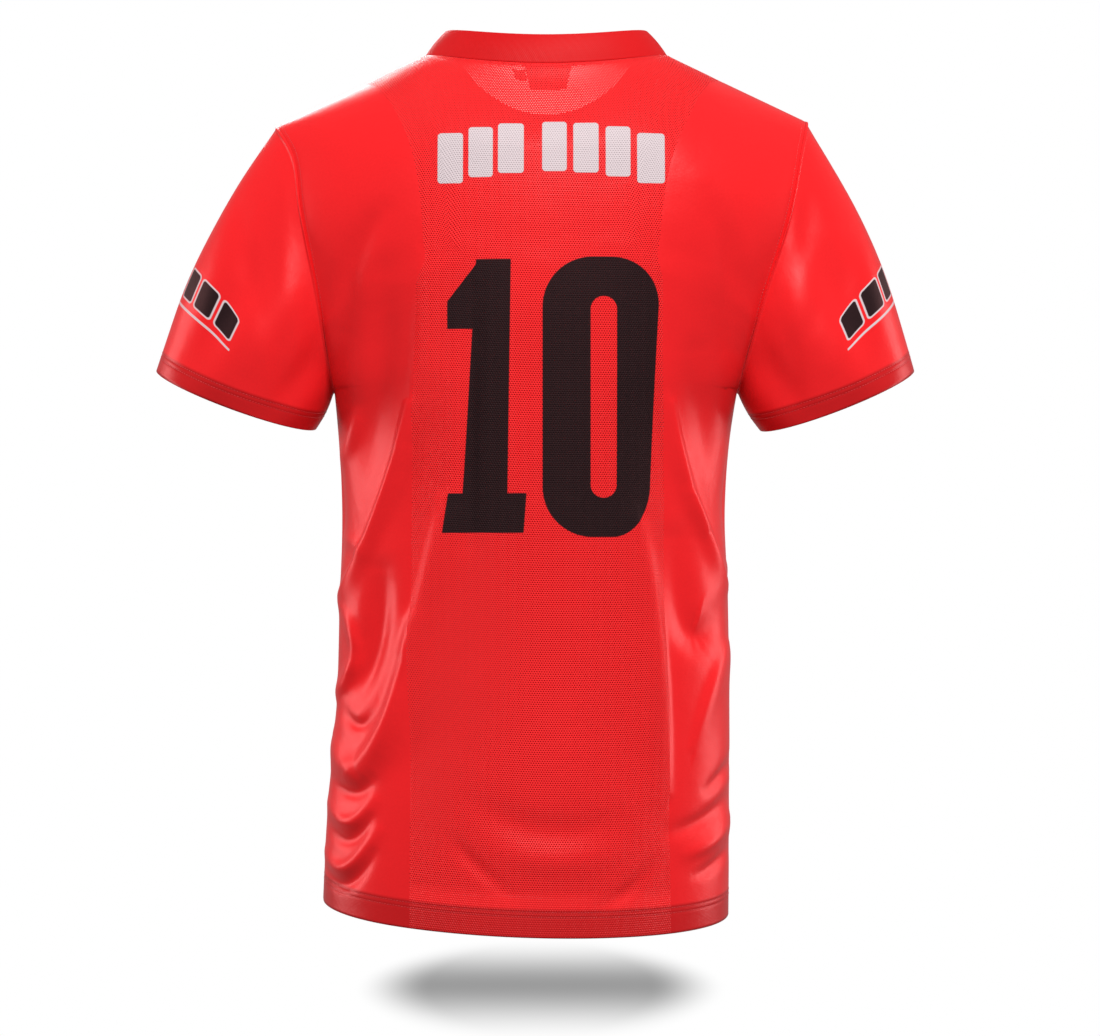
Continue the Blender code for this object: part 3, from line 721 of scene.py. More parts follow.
eyelets, eyelets_in, eyelets_out = new_group(
    "eyelets", (("Along", VECTOR),), (("Hole", VALUE), ("Dip", VALUE))
)
cell = (EYELET_PITCH, EYELET_PITCH * math.sqrt(3), 1)
nearest = None
for shift in ((0, 0, 0), (0.5, 0.5, 0)):
    place = vector_calc(eyelets, "DIVIDE", eyelets_in["Along"], cell)["Vector"]
    place = vector_calc(eyelets, "ADD", place, shift)["Vector"]
    place = vector_calc(eyelets, "FRACTION", place)["Vector"]
    place = vector_calc(eyelets, "SUBTRACT", place, (0.5, 0.5, 0))["Vector"]
    place = vector_calc(eyelets, "MULTIPLY", place, (cell[0], cell[1], 0))["Vector"]
    away = vector_calc(eyelets, "LENGTH", place)["Value"]
    nearest = away if nearest is None else calc(eyelets, "MINIMUM", nearest, away)
depth_in = calc(eyelets, "SUBTRACT", EYELET_RADIUS, nearest)
eyelets.links.new(step_in(eyelets, depth_in, SOFT_RIM), eyelets_out["Hole"])
eyelets.links.new(step_in(eyelets, depth_in, SOFT_DIP), eyelets_out["Dip"])

# a slab is a block with round corners, and a bar is a strip whose two sides may slope
Slab = namedtuple("Slab", "middle_x middle_z half_width half_height corner")
Bar = namedtuple("Bar", "low high left_low left_high right_low right_high")
SLAB_SOCKETS = ("X", "Z", "Middle X", "Middle Z", "Half width", "Half height", "Corner")
BAR_SOCKETS = ("X", "Z", "Low", "High", "Left low", "Left high", "Right low", "Right high")
SOFT_PRINT = 0.0003      # how soft the edge of a print is
BAR_CORNER = 0.0016

slab, slab_in, slab_out = new_group(
    "slab", [(label, VALUE) for label in SLAB_SOCKETS], (("Inside", VALUE),)
)
over = []
for place, middle, half in (("X", "Middle X", "Half width"), ("Z", "Middle Z", "Half height")):
    away = calc(slab, "ABSOLUTE", calc(slab, "SUBTRACT", slab_in[place], slab_in[middle]))
    straight = calc(slab, "SUBTRACT", slab_in[half], slab_in["Corner"])
    over.append(calc(slab, "MAXIMUM", calc(slab, "SUBTRACT", away, straight), 0.0))
from_corner = calc(slab, "MULTIPLY", over[1], over[1])
from_corner = calc(slab, "SQRT", calc(slab, "MULTIPLY_ADD", over[0], over[0], from_corner))
inside = calc(slab, "SUBTRACT", slab_in["Corner"], from_corner)
slab.links.new(step_in(slab, inside, SOFT_PRINT), slab_out["Inside"])

bar, bar_in, bar_out = new_group(
    "bar", [(label, VALUE) for label in BAR_SOCKETS], (("Inside", VALUE),)
)
from_low = calc(bar, "SUBTRACT", bar_in["Z"], bar_in["Low"])
from_high = calc(bar, "SUBTRACT", bar_in["High"], bar_in["Z"])
share = calc(bar, "DIVIDE", from_low, calc(bar, "SUBTRACT", bar_in["High"], bar_in["Low"]))
edges = {}
for name in ("Left", "Right"):
    slope = calc(bar, "SUBTRACT", bar_in[name + " high"], bar_in[name + " low"])
    edges[name] = calc(bar, "MULTIPLY_ADD", slope, share, bar_in[name + " low"])
from_left = calc(bar, "SUBTRACT", bar_in["X"], edges["Left"])
from_right = calc(bar, "SUBTRACT", edges["Right"], bar_in["X"])
across = calc(bar, "MINIMUM", from_left, from_right)
upward = calc(bar, "MINIMUM", from_low, from_high)
inside = calc(bar, "SMOOTH_MIN", across, upward, BAR_CORNER)
bar.links.new(step_in(bar, inside, SOFT_PRINT), bar_out["Inside"])


def shape(tree, group, x, z, sizes):
    """Where x and z are inside a slab or a bar of these sizes."""
    node = tree.nodes.new("ShaderNodeGroup")
    node.node_tree = group
    tree.links.new(x, node.inputs["X"])
    tree.links.new(z, node.inputs["Z"])
    for socket, size in zip(list(node.inputs)[2:], sizes):
        socket.default_value = size
    return node.outputs["Inside"]


ONE_TOP = -0.1744
ONE_STEM = Bar(-0.3700, ONE_TOP, left_low=-0.0607, left_high=-0.0488, right_low=-0.0241, right_high=-0.0210)
ONE_FLAG = Bar(-0.0718, -0.0470, left_low=-0.2297, left_high=-0.2297, right_low=-0.2077, right_high=-0.1760)
ONE_FOOT = Bar(-0.3919, -0.3602, left_low=-0.0750, left_high=-0.0710, right_low=-0.0110, right_high=-0.0087)
NOUGHT_OUTER = Slab(0.0515, -0.2838, half_width=0.0475, half_height=0.1114, corner=0.0400)
NOUGHT_INNER = Slab(0.0528, -0.2837, half_width=0.0104, half_height=0.0800, corner=0.0103)
NOUGHT_TOP = -0.1724
NOUGHT_HIGH = 0.2227
NOUGHT_INSIDE = 0.063    # the inner side of its right stroke
NOUGHT_STROKE = 0.036
NOUGHT_DRAWN_IN = 0.0143
BLACK = (0.0085, 0.0042, 0.0054, 1)
WHITE = (0.68, 0.58, 0.60, 1)

Tile = namedtuple("Tile", "middle half")
TILES = (
    Tile(middle=-0.0695, half=0.0102),
    Tile(middle=-0.0453, half=0.0098),
    Tile(middle=-0.0212, half=0.0104),
    Tile(middle=0.0135, half=0.0099),
    Tile(middle=0.0386, half=0.0102),
    Tile(middle=0.0642, half=0.0100),
    Tile(middle=0.0905, half=0.0112),
)
TILES_AT = -0.0838
TILE_HALF_HEIGHT = 0.0205
TILE_CORNER = 0.0028
ARCH_MIDDLE = 0.0110
ARCH_HALF_WIDTH = 0.085
ARCH_DROP = 0.01045      # how much lower the arch is at its ends than in its middle

back_print, print_in, print_out = new_group(
    "back print", (("Place", VECTOR),), (("Ink", VALUE), ("Colour", COLOUR))
)
x, z = both_of(back_print, print_in["Place"])
# the nought, whose right side draws in towards its foot
lower = calc(back_print, "DIVIDE", calc(back_print, "SUBTRACT", NOUGHT_TOP, z), NOUGHT_HIGH)
beyond = calc(back_print, "DIVIDE", calc(back_print, "SUBTRACT", x, NOUGHT_INSIDE), NOUGHT_STROKE)
beyond = calc(back_print, "MINIMUM", calc(back_print, "MAXIMUM", beyond, 0.0), 1.0)
drawn_in = calc(back_print, "MULTIPLY", lower, beyond)
drawn_x = calc(back_print, "MULTIPLY_ADD", drawn_in, NOUGHT_DRAWN_IN, x)
outer = shape(back_print, slab, drawn_x, z, NOUGHT_OUTER)
inner = shape(back_print, slab, drawn_x, z, NOUGHT_INNER)
figures = calc(back_print, "MULTIPLY", outer, calc(back_print, "SUBTRACT", 1.0, inner))
# the one, whose flag is a bar that lies on its side
stem = shape(back_print, bar, x, z, ONE_STEM)
flag = shape(back_print, bar, z, x, ONE_FLAG)
foot = shape(back_print, bar, x, z, ONE_FOOT)
below_top = step_in(back_print, calc(back_print, "SUBTRACT", ONE_TOP, z), SOFT_PRINT)
flag = calc(back_print, "MULTIPLY", flag, below_top)
for part in (stem, flag, foot):
    figures = calc(back_print, "MAXIMUM", figures, part)
# the tiles, in a group of three and a group of four
tiles = None
for tile in TILES:
    drop = ARCH_DROP * ((tile.middle - ARCH_MIDDLE) / ARCH_HALF_WIDTH) ** 2
    sizes = Slab(tile.middle, TILES_AT - drop, tile.half, TILE_HALF_HEIGHT, TILE_CORNER)
    printed = shape(back_print, slab, x, z, sizes)
    tiles = printed if tiles is None else calc(back_print, "MAXIMUM", tiles, printed)
back_print.links.new(calc(back_print, "MAXIMUM", figures, tiles), print_out["Ink"])
back_print.links.new(blend(back_print, tiles, BLACK, WHITE), print_out["Colour"])

MESH_RED = (1.0, 0.0200, 0.0230, 1)
red_mesh = cloth_material(
    "red mesh", MESH_RED, rough_more=0.06, prints=back_print, eyelets=eyelets
)

centre = np.s_[:, SIDE_COLUMNS:-SIDE_COLUMNS]
piece = cloth_piece(
    "mesh_back",
    with_lips(back_grid[centre], back_out[centre]),
    back_flat[centre][..., [0, 2]],
    red_mesh,
)
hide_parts("back_centre")
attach(piece, "root")


# ---------------------------------------------------------------- the front
# One plain panel of satin, which the back hides. Its creases are like those of the back.

SHOULDER_COLUMNS = 28    # from the neck to the armhole

FRONT_CREASES = (
    Crease(0.092, -0.175, 0.100, -0.270, 0.118, -0.325, width=0.013, height=0.0034, lean=-0.4),
    Crease(0.112, -0.300, 0.128, -0.375, 0.160, -0.430, width=0.0070, height=0.0042, lean=-0.4),
    Crease(0.124, -0.220, 0.136, -0.300, 0.149, -0.385, width=0.015, height=-0.0040, lean=0.0),
    Crease(0.064, -0.340, 0.082, -0.430, 0.110, -0.500, width=0.013, height=0.0036, lean=-0.4),
    Crease(0.102, -0.480, 0.118, -0.560, 0.152, -0.590, width=0.0110, height=0.0046, lean=-0.2),
    Crease(0.126, -0.430, 0.132, -0.500, 0.152, -0.530, width=0.0105, height=-0.0046, lean=0.0),
    Crease(0.130, -0.600, 0.146, -0.618, 0.158, -0.602, width=0.0060, height=-0.0030, lean=0.0),
    Crease(0.128, -0.622, 0.146, -0.650, 0.158, -0.632, width=0.0060, height=0.0028, lean=0.0),
    Crease(0.126, -0.645, 0.144, -0.680, 0.156, -0.660, width=0.0055, height=-0.0026, lean=0.0),
    Crease(-0.100, -0.240, -0.112, -0.330, -0.138, -0.390, width=0.0085, height=0.0034, lean=0.4),
    Crease(-0.128, -0.370, -0.140, -0.410, -0.164, -0.442, width=0.0060, height=0.0034, lean=0.4),
    Crease(-0.128, -0.250, -0.142, -0.330, -0.158, -0.400, width=0.013, height=-0.0034, lean=0.0),
    Crease(-0.084, -0.400, -0.098, -0.490, -0.100, -0.600, width=0.0105, height=0.0042, lean=0.4),
    Crease(-0.112, -0.430, -0.122, -0.520, -0.150, -0.470, width=0.0115, height=-0.0040, lean=0.0),
    Crease(-0.166, -0.500, -0.148, -0.530, -0.134, -0.580, width=0.0080, height=0.0034, lean=-0.4),
    Crease(-0.170, -0.600, -0.152, -0.622, -0.116, -0.630, width=0.0070, height=-0.0030, lean=0.0),
    Crease(-0.172, -0.640, -0.152, -0.662, -0.120, -0.664, width=0.0060, height=0.0026, lean=0.0),
    Crease(-0.054, -0.618, 0.004, -0.636, 0.062, -0.622, width=0.0080, height=-0.0022, lean=0.0),
    Crease(0.046, -0.150, 0.010, -0.215, -0.040, -0.160, width=0.0140, height=-0.0026, lean=0.0),
    Crease(0.058, -0.200, 0.008, -0.275, -0.052, -0.210, width=0.0130, height=-0.0020, lean=0.0),
    Crease(-0.120, -0.100, -0.154, -0.140, -0.170, -0.200, width=0.0085, height=0.0026, lean=0.0),
    Crease(0.118, -0.110, 0.150, -0.150, 0.166, -0.215, width=0.0085, height=-0.0030, lean=0.0),
)

front_shares = shares_across("front", left_end, right_end, SHOULDER_COLUMNS)
front_flat = eased(form_grid("front", left_end, right_end, front_shares))
front_grid = creased(front_flat, "front", FRONT_CREASES, seed=11)
front_out = -out_of(front_grid)
piece = cloth_piece(
    "satin_front",
    with_lips(front_grid, front_out),
    front_flat[..., [0, 2]],
    red_satin,
    reverse=True,
)
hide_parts("front")
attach(piece, "root")


# ---------------------------------------------------------------- the sleeves
# Each is a tube from the armhole to the cuff, closed by a seam under the arm. A sleeve's creases run from
# the shoulder and the underarm down to the cuff, and a row of bare tiles is printed round its outer side.

SLEEVE_ROWS = 100        # from the cuff to the armhole
ROWS_NEAR_TOP = 1.35     # above 1 the rows are closer near the armhole
SLEEVE_BULGE = 0.045     # how far a sleeve stands out between its ends, as a share of its length there
CUFF_DEPTH = 0.058
CUFF_TILT = 0.17
SLEEVE_ROUND = 0.380     # lengths that its print is laid out on, round it and along it
SLEEVE_LONG = 0.225
ARMHOLE_ROLL = 0.0017    # the seam allowance stands up inside the sleeve's edge

Cuff = namedtuple("Cuff", "outer_x outer_z inner_x inner_z")
CUFFS = {
    "left": Cuff(outer_x=-0.3165, outer_z=-0.257, inner_x=-0.1840, inner_z=-0.306),
    "right": Cuff(outer_x=0.3120, outer_z=-0.257, inner_x=0.1840, inner_z=-0.307),
}

SleeveFold = namedtuple("SleeveFold", "round lean width height")
SLEEVE_FOLDS = (
    SleeveFold(round=0.13, lean=0.05, width=0.035, height=-0.0045),
    SleeveFold(round=0.22, lean=0.07, width=0.040, height=0.0040),
    SleeveFold(round=0.31, lean=0.04, width=0.040, height=-0.0040),
    SleeveFold(round=0.72, lean=-0.04, width=0.040, height=-0.0040),
    SleeveFold(round=0.86, lean=-0.05, width=0.035, height=-0.0045),
)

SLEEVE_CREASES = {
    ("left", "back"): (
        Crease(-0.226, -0.066, -0.262, -0.115, -0.262, -0.195, width=0.0108, height=0.0011, lean=0.0),
        Crease(-0.262, -0.180, -0.268, -0.215, -0.286, -0.250, width=0.0108, height=0.0012, lean=0.0),
        Crease(-0.244, -0.125, -0.240, -0.175, -0.214, -0.236, width=0.0105, height=-0.0019, lean=0.0),
        Crease(-0.216, -0.130, -0.222, -0.180, -0.204, -0.240, width=0.0101, height=-0.0010, lean=0.0),
        Crease(-0.206, -0.100, -0.214, -0.155, -0.200, -0.205, width=0.0101, height=0.0011, lean=0.0),
        Crease(-0.199, -0.215, -0.214, -0.250, -0.206, -0.285, width=0.0081, height=-0.0012, lean=0.0),
    ),
    ("left", "front"): (
        Crease(-0.224, -0.070, -0.256, -0.120, -0.262, -0.205, width=0.0121, height=0.0012, lean=0.0),
        Crease(-0.228, -0.140, -0.226, -0.185, -0.204, -0.240, width=0.0121, height=-0.0016, lean=0.0),
        Crease(-0.246, -0.150, -0.250, -0.210, -0.240, -0.265, width=0.0108, height=-0.0013, lean=0.0),
    ),
    ("right", "back"): (
        Crease(0.228, -0.066, 0.262, -0.100, 0.272, -0.180, width=0.0095, height=0.0012, lean=0.0),
        Crease(0.270, -0.165, 0.277, -0.205, 0.277, -0.250, width=0.0101, height=0.0012, lean=0.0),
        Crease(0.222, -0.110, 0.219, -0.155, 0.207, -0.185, width=0.0101, height=-0.0016, lean=0.0),
        Crease(0.240, -0.165, 0.234, -0.210, 0.214, -0.240, width=0.0101, height=-0.0016, lean=0.0),
        Crease(0.253, -0.155, 0.252, -0.200, 0.230, -0.245, width=0.0095, height=-0.0013, lean=0.0),
        Crease(0.206, -0.140, 0.216, -0.190, 0.202, -0.235, width=0.0095, height=0.0010, lean=0.0),
        Crease(0.200, -0.225, 0.214, -0.262, 0.208, -0.290, width=0.0081, height=-0.0011, lean=0.0),
    ),
    ("right", "front"): (
        Crease(0.226, -0.072, 0.258, -0.118, 0.266, -0.200, width=0.0115, height=0.0012, lean=0.0),
        Crease(0.230, -0.138, 0.226, -0.190, 0.208, -0.236, width=0.0115, height=-0.0015, lean=0.0),
        Crease(0.250, -0.160, 0.252, -0.214, 0.238, -0.262, width=0.0101, height=-0.0013, lean=0.0),
    ),
}

sleeve_print, print_in, print_out = new_group(
    "sleeve print", (("Place", VECTOR),), (("Ink", VALUE), ("Colour", COLOUR))
)
x, z = both_of(sleeve_print, print_in["Place"])
line = Slab(-0.0110, -0.1645, half_width=0.0670, half_height=0.0011, corner=0.0005)
pale = shape(sleeve_print, slab, x, z, line)
dark = None
for middle in (-0.0660, -0.0440, -0.0222, 0.0, 0.0218, 0.0442):
    outer = Slab(middle, -0.1450, half_width=0.0098, half_height=0.0132, corner=0.0034)
    inner = Slab(middle, -0.1450, half_width=0.0084, half_height=0.0118, corner=0.0024)
    edge = shape(sleeve_print, slab, x, z, outer)
    tile = shape(sleeve_print, slab, x, z, inner)
    pale = calc(sleeve_print, "MAXIMUM", pale, edge)
    dark = tile if dark is None else calc(sleeve_print, "MAXIMUM", dark, tile)
sleeve_print.links.new(pale, print_out["Ink"])
sleeve_print.links.new(blend(sleeve_print, dark, WHITE, BLACK), print_out["Colour"])

CUFF_LESS = 0.0045       # a cuff's hem is this much narrower
tiled_satin = cloth_material("tiled red satin", RED, prints=sleeve_print, hem_less=CUFF_LESS)


def make_sleeve(side, back_edge, front_edge, seed):
    """The sleeve's piece, and its grid from the cuff up with its outward normals."""
    armhole = np.vstack([back_edge, front_edge[-2::-1]])
    share_round = np.linspace(0, 1, len(armhole))
    turn = 2 * math.pi * share_round[:, None]
    cuff = CUFFS[side]
    inner = np.array([cuff.inner_x, 0, cuff.inner_z])
    outer = np.array([cuff.outer_x, 0, cuff.outer_z])
    behind = np.array([0, -CUFF_DEPTH, -CUFF_DEPTH * CUFF_TILT])
    away = (inner - outer) / 2 * np.cos(turn) + behind * np.sin(turn)
    opening = (inner + outer) / 2 + away
    away = away / np.linalg.norm(away, axis=1, keepdims=True)
    long = np.linalg.norm(opening - armhole, axis=1, keepdims=True)
    shares = np.linspace(1, 0, SLEEVE_ROWS + 1) ** ROWS_NEAR_TOP
    rows = []
    for share in shares:
        raised = SLEEVE_BULGE * long
        for fold in SLEEVE_FOLDS:
            beside = (share_round[:, None] - fold.round - fold.lean * share) / fold.width
            raised = raised + fold.height * np.exp(-(beside**2))
        rows.append(armhole + (opening - armhole) * share + away * raised * math.sin(math.pi * share))
    points = np.array(rows)
    outward = out_of(points) * (-1 if side == "left" else 1)
    outward[:, 0] = outward[:, -1] = (outward[:, 0] + outward[:, -1]) / 2
    x, y, z = np.moveaxis(points, -1, 0)
    raised = np.zeros_like(x)
    for half, facing in (("back", y < 0), ("front", y >= 0)):
        field = crease_field(SLEEVE_CREASES[side, half], x, z)
        raised += np.where(facing, field, 0) * smooth(np.abs(y) / 0.022)
    raised += ripple(x + y, z, seed, RIPPLE)
    raised *= np.minimum(smooth(shares / 0.10), smooth((1 - shares) / 0.34) * 0.92 + 0.08)[:, None]
    raised[:, -1] = raised[:, 0]
    from_armhole = shares[:, None] * long.T
    raised += ARMHOLE_ROLL * np.exp(-(((from_armhole - 0.0016) / 0.0011) ** 2))
    points = points + outward * raised[..., None]
    outward = out_of(points) * (-1 if side == "left" else 1)
    outward[:, 0] = outward[:, -1] = (outward[:, 0] + outward[:, -1]) / 2
    round_place = np.broadcast_to((share_round - 0.5) * SLEEVE_ROUND, x.shape)
    along_place = np.broadcast_to(-shares[:, None] * SLEEVE_LONG, x.shape)
    piece = cloth_piece(
        "satin_sleeve_" + side,
        with_lips(points, outward, left=False, right=False),
        np.stack([round_place, along_place], axis=-1),
        tiled_satin,
        reverse=side == "left",
    )
    return piece, points, outward


piece, sleeve_left, sleeve_left_out = make_sleeve(
    "left", back_grid[ROWS_BELOW:, 0], front_grid[ROWS_BELOW:, 0], seed=5
)
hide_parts("sleeve_left")
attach(piece, "root")

piece, sleeve_right, sleeve_right_out = make_sleeve(
    "right", back_grid[ROWS_BELOW:, -1], front_grid[ROWS_BELOW:, -1], seed=8
)
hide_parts("sleeve_right")
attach(piece, "root")


# ---------------------------------------------------------------- the collar
# A doubled band of rib round the neckline, folded along its top, that stands up and leans in.

COLLAR_HEIGHT = {"back": 0.0245, "side": 0.0200, "front": 0.0230}
COLLAR_LEAN = {"back": 0.0065, "side": 0.0175, "front": 0.0130}
COLLAR_WALL = 0.0018
COLLAR_ROWS = 16
COLLAR_BULGE = 0.0011    # how far the band stands out between its seam and its fold
RIB = 0.0016             # between two ribs of the knit

turns = np.linspace(-math.pi / 2, math.pi / 2, NECK_COLUMNS + 1)
x = NECK_MIDDLE + NECK_HALF_WIDTH * np.sin(turns)
rings = []
for side, order, way in (("back", np.s_[:], -1), ("front", np.s_[-2::-1], 1)):
    depth, height = top_edge(side, x)
    foot = np.stack([x, way * depth, height], axis=-1)[order]
    facing = np.abs(np.cos(turns))[order, None]
    tall = COLLAR_HEIGHT["side"] + (COLLAR_HEIGHT[side] - COLLAR_HEIGHT["side"]) * facing
    lean = COLLAR_LEAN["side"] + (COLLAR_LEAN[side] - COLLAR_LEAN["side"]) * facing
    inward = np.array([NECK_MIDDLE, 0, 0]) - foot
    inward[:, 2] = 0
    inward /= np.linalg.norm(inward, axis=1, keepdims=True)
    rings.append(np.stack([foot, tall * np.array([0, 0, 1]) + lean * inward, -inward], axis=1))
ring = np.vstack(rings)
foot, rise, outward = np.moveaxis(ring, 1, 0)
rows = []
for share in np.linspace(0, 1, COLLAR_ROWS + 1):
    bulge = COLLAR_BULGE * math.sin(math.pi * share) - 0.0009 * share**6
    rows.append(foot + rise * share + outward * bulge)
collar_grid = np.array(rows)
collar_grid[:, -1] = collar_grid[:, 0]

RIB_RED = (0.63, 0.005, 0.007, 1)
rib = cloth_material("red rib", RIB_RED, rough_more=0.22, hem_less=1.0)
tree = rib.node_tree
_, around, _ = place_on(tree, "cloth")
bump = tree.nodes["Bump"]
ribs = calc(tree, "SINE", calc(tree, "MULTIPLY", around, 2 * math.pi / RIB))
tree.links.new(
    calc(tree, "MULTIPLY_ADD", ribs, 0.00006, bump.inputs["Height"].links[0].from_socket),
    bump.inputs["Height"],
)

piece = cloth_piece("rib_band", collar_grid, collar_grid[..., [0, 2]], rib)
solidify = piece.modifiers["wall"]
solidify.vertex_group = ""
solidify.thickness = COLLAR_WALL
bevel = piece.modifiers.new("fold", "BEVEL")
bevel.width = 0.0007
bevel.segments = 3
bevel.limit_method = "ANGLE"
bevel.angle_limit = math.radians(50)
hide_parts("collar")
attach(piece, "root")


# ---------------------------------------------------------------- the labels
# A woven label hangs inside the back of the neck with a small tab beside it. Both are bare and dark, and
# show faintly through the mesh.

LABEL_MIDDLE = 0.0085
LABEL_WIDTH = 0.038
LABEL_HEIGHT = 0.024
LABEL_DOWN = 0.0010
TAB_WIDTH = 0.0105
TAB_HEIGHT = 0.0100
TAB_DOWN = 0.0065
TAB_GAP = 0.0006
LABEL_WALL = 0.0007
LABEL_BACK = 0.0018      # from the face of the mesh to the label

woven = bpy.data.materials.new("dark woven label")
woven.use_nodes = True
tree = woven.node_tree
shader = tree.nodes["Principled BSDF"]
shader.inputs["Base Color"].default_value = (0.055, 0.006, 0.009, 1)
shader.inputs["Roughness"].default_value = 0.55
shader.inputs["Specular IOR Level"].default_value = 0.3
_, across, up = place_on(tree, "cloth")
weft = calc(tree, "SINE", calc(tree, "MULTIPLY", up, 2 * math.pi / 0.0005))
warp = calc(tree, "SINE", calc(tree, "MULTIPLY", across, 2 * math.pi / 0.0004))
bump = tree.nodes.new("ShaderNodeBump")
bump.inputs["Distance"].default_value = 1
tree.links.new(calc(tree, "MULTIPLY", calc(tree, "ADD", weft, warp), 0.00002), bump.inputs["Height"])
tree.links.new(bump.outputs["Normal"], shader.inputs["Normal"])


def hung_inside(name, middle, width, down, height):
    """A small label behind the back, made from the points of the wall that it hangs behind."""
    columns_wide = 16
    rows_high = 12
    x = np.linspace(middle - width / 2, middle + width / 2, columns_wide + 1)
    first = SIDE_COLUMNS + INNER_COLUMNS
    neck = back_flat[:, first:-first]
    columns = np.interp(x, neck[-1, :, 0], np.arange(NECK_COLUMNS + 1))
    points = np.zeros((rows_high + 1, columns_wide + 1, 3))
    for number, column in enumerate(columns):
        before = int(column)
        line = neck[::-1, before] + (neck[::-1, before + 1] - neck[::-1, before]) * (column - before)
        reach = np.concatenate([[0], np.cumsum(np.linalg.norm(np.diff(line, axis=0), axis=1))])
        wanted = down + height * np.linspace(1, 0, rows_high + 1)
        for axis in range(3):
            points[:, number, axis] = np.interp(wanted, reach, line[:, axis])
    points = points - out_of(points) * LABEL_BACK
    piece = cloth_piece(name, points, points[..., [0, 2]], woven)
    solidify = piece.modifiers["wall"]
    solidify.vertex_group = ""
    solidify.thickness = LABEL_WALL
    return piece


piece = hung_inside("woven_label", LABEL_MIDDLE, LABEL_WIDTH, LABEL_DOWN, LABEL_HEIGHT)
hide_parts("neck_label")
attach(piece, "root")

tab_middle = LABEL_MIDDLE - (LABEL_WIDTH + TAB_WIDTH) / 2 - TAB_GAP
piece = hung_inside("woven_tab", tab_middle, TAB_WIDTH, LABEL_DOWN + TAB_DOWN, TAB_HEIGHT)
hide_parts("size_tab")
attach(piece, "root")


# ---------------------------------------------------------------- the stitching
# Two rows of cover stitch hold each hem, one row runs round the neck beside the collar's seam and one
# round each armhole. Each stitch is a small lens of thread.

STITCH_PITCH = 0.0026
STITCH_LENGTH = 0.0020
STITCH_WIDE = 0.00050
STITCH_HIGH = 0.00032

thread = bpy.data.materials.new("red thread")
thread.use_nodes = True
shader = thread.node_tree.nodes["Principled BSDF"]
shader.inputs["Base Color"].default_value = (0.70, 0.020, 0.028, 1)
shader.inputs["Roughness"].default_value = 0.42
shader.inputs["Sheen Weight"].default_value = 0.2


def line_up(points, out, up):
    """The line across a grid that stays this far along the cloth from its first row."""
    runs = np.linalg.norm(np.diff(points, axis=0), axis=-1)
    reach = np.concatenate([np.zeros((1, points.shape[1])), np.cumsum(runs, axis=0)])
    line = np.zeros((points.shape[1], 3))
    normals = np.zeros((points.shape[1], 3))
    for column in range(points.shape[1]):
        for axis in range(3):
            line[column, axis] = np.interp(up, reach[:, column], points[:, column, axis])
            normals[column, axis] = np.interp(up, reach[:, column], out[:, column, axis])
    return line, normals


def stitched(name, lines):
    """One piece with a stitch at each step along each line."""
    bm = bmesh.new()
    for line, normals in lines:
        reach = np.concatenate([[0], np.cumsum(np.linalg.norm(np.diff(line, axis=0), axis=1))])
        for number in range(int(reach[-1] / STITCH_PITCH)):
            middle = (number + 0.5) * STITCH_PITCH
            ends = []
            for at in (middle - STITCH_LENGTH / 2, middle + STITCH_LENGTH / 2):
                ends.append(np.array([np.interp(at, reach, line[:, axis]) for axis in range(3)]))
            up = np.array([np.interp(middle, reach, normals[:, axis]) for axis in range(3)])
            way = (ends[1] - ends[0]) / 2
            beside = np.cross(way, up)
            beside *= STITCH_WIDE / 2 / np.linalg.norm(beside)
            up = up / np.linalg.norm(up)
            place = np.eye(4)
            place[:3, 0] = way
            place[:3, 1] = beside
            place[:3, 2] = up * STITCH_HIGH / 2
            place[:3, 3] = (ends[0] + ends[1]) / 2 + up * STITCH_HIGH * 0.25
            bmesh.ops.create_icosphere(bm, subdivisions=1, radius=1, matrix=Matrix(place.tolist()))
    for face in bm.faces:
        face.smooth = True
    bmesh.ops.recalc_face_normals(bm, faces=bm.faces)
    mesh = bpy.data.meshes.new(name)
    bm.to_mesh(mesh)
    bm.free()
    mesh.materials.append(thread)
    piece = bpy.data.objects.new(name, mesh)
    bpy.context.scene.collection.objects.link(piece)
    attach(piece, "root")
    return piece


stitched("hem_stitching", [
    line_up(grid, out, up)
    for grid, out in ((back_grid, back_out), (front_grid, front_out))
    for up in STITCHED_AT
])
stitched("cuff_stitching", [
    line_up(grid, out, up - CUFF_LESS)
    for grid, out in ((sleeve_left, sleeve_left_out), (sleeve_right, sleeve_right_out))
    for up in STITCHED_AT
])
seam_lines = []
for grid, out, first in (
    (back_grid, back_out, SIDE_COLUMNS + INNER_COLUMNS),
    (front_grid, front_out, SHOULDER_COLUMNS),
):
    seam_lines.append(line_up(grid[::-1, first:-first], out[::-1, first:-first], 0.0030))
    above = np.s_[ROWS_BELOW:-2]
    for order in (1, -1):
        turned = grid[above, ::order].transpose(1, 0, 2)
        seam_lines.append(line_up(turned, out[above, ::order].transpose(1, 0, 2), 0.0032))
stitched("seam_stitching", seam_lines)


# ---------------------------------------------------------------- the studio
# White surroundings, a narrow soft light on each side that is tinted towards the cloth, a broad one
# before the back, a weaker one before the front and a faint shadow underfoot, painted on a clear sheet.

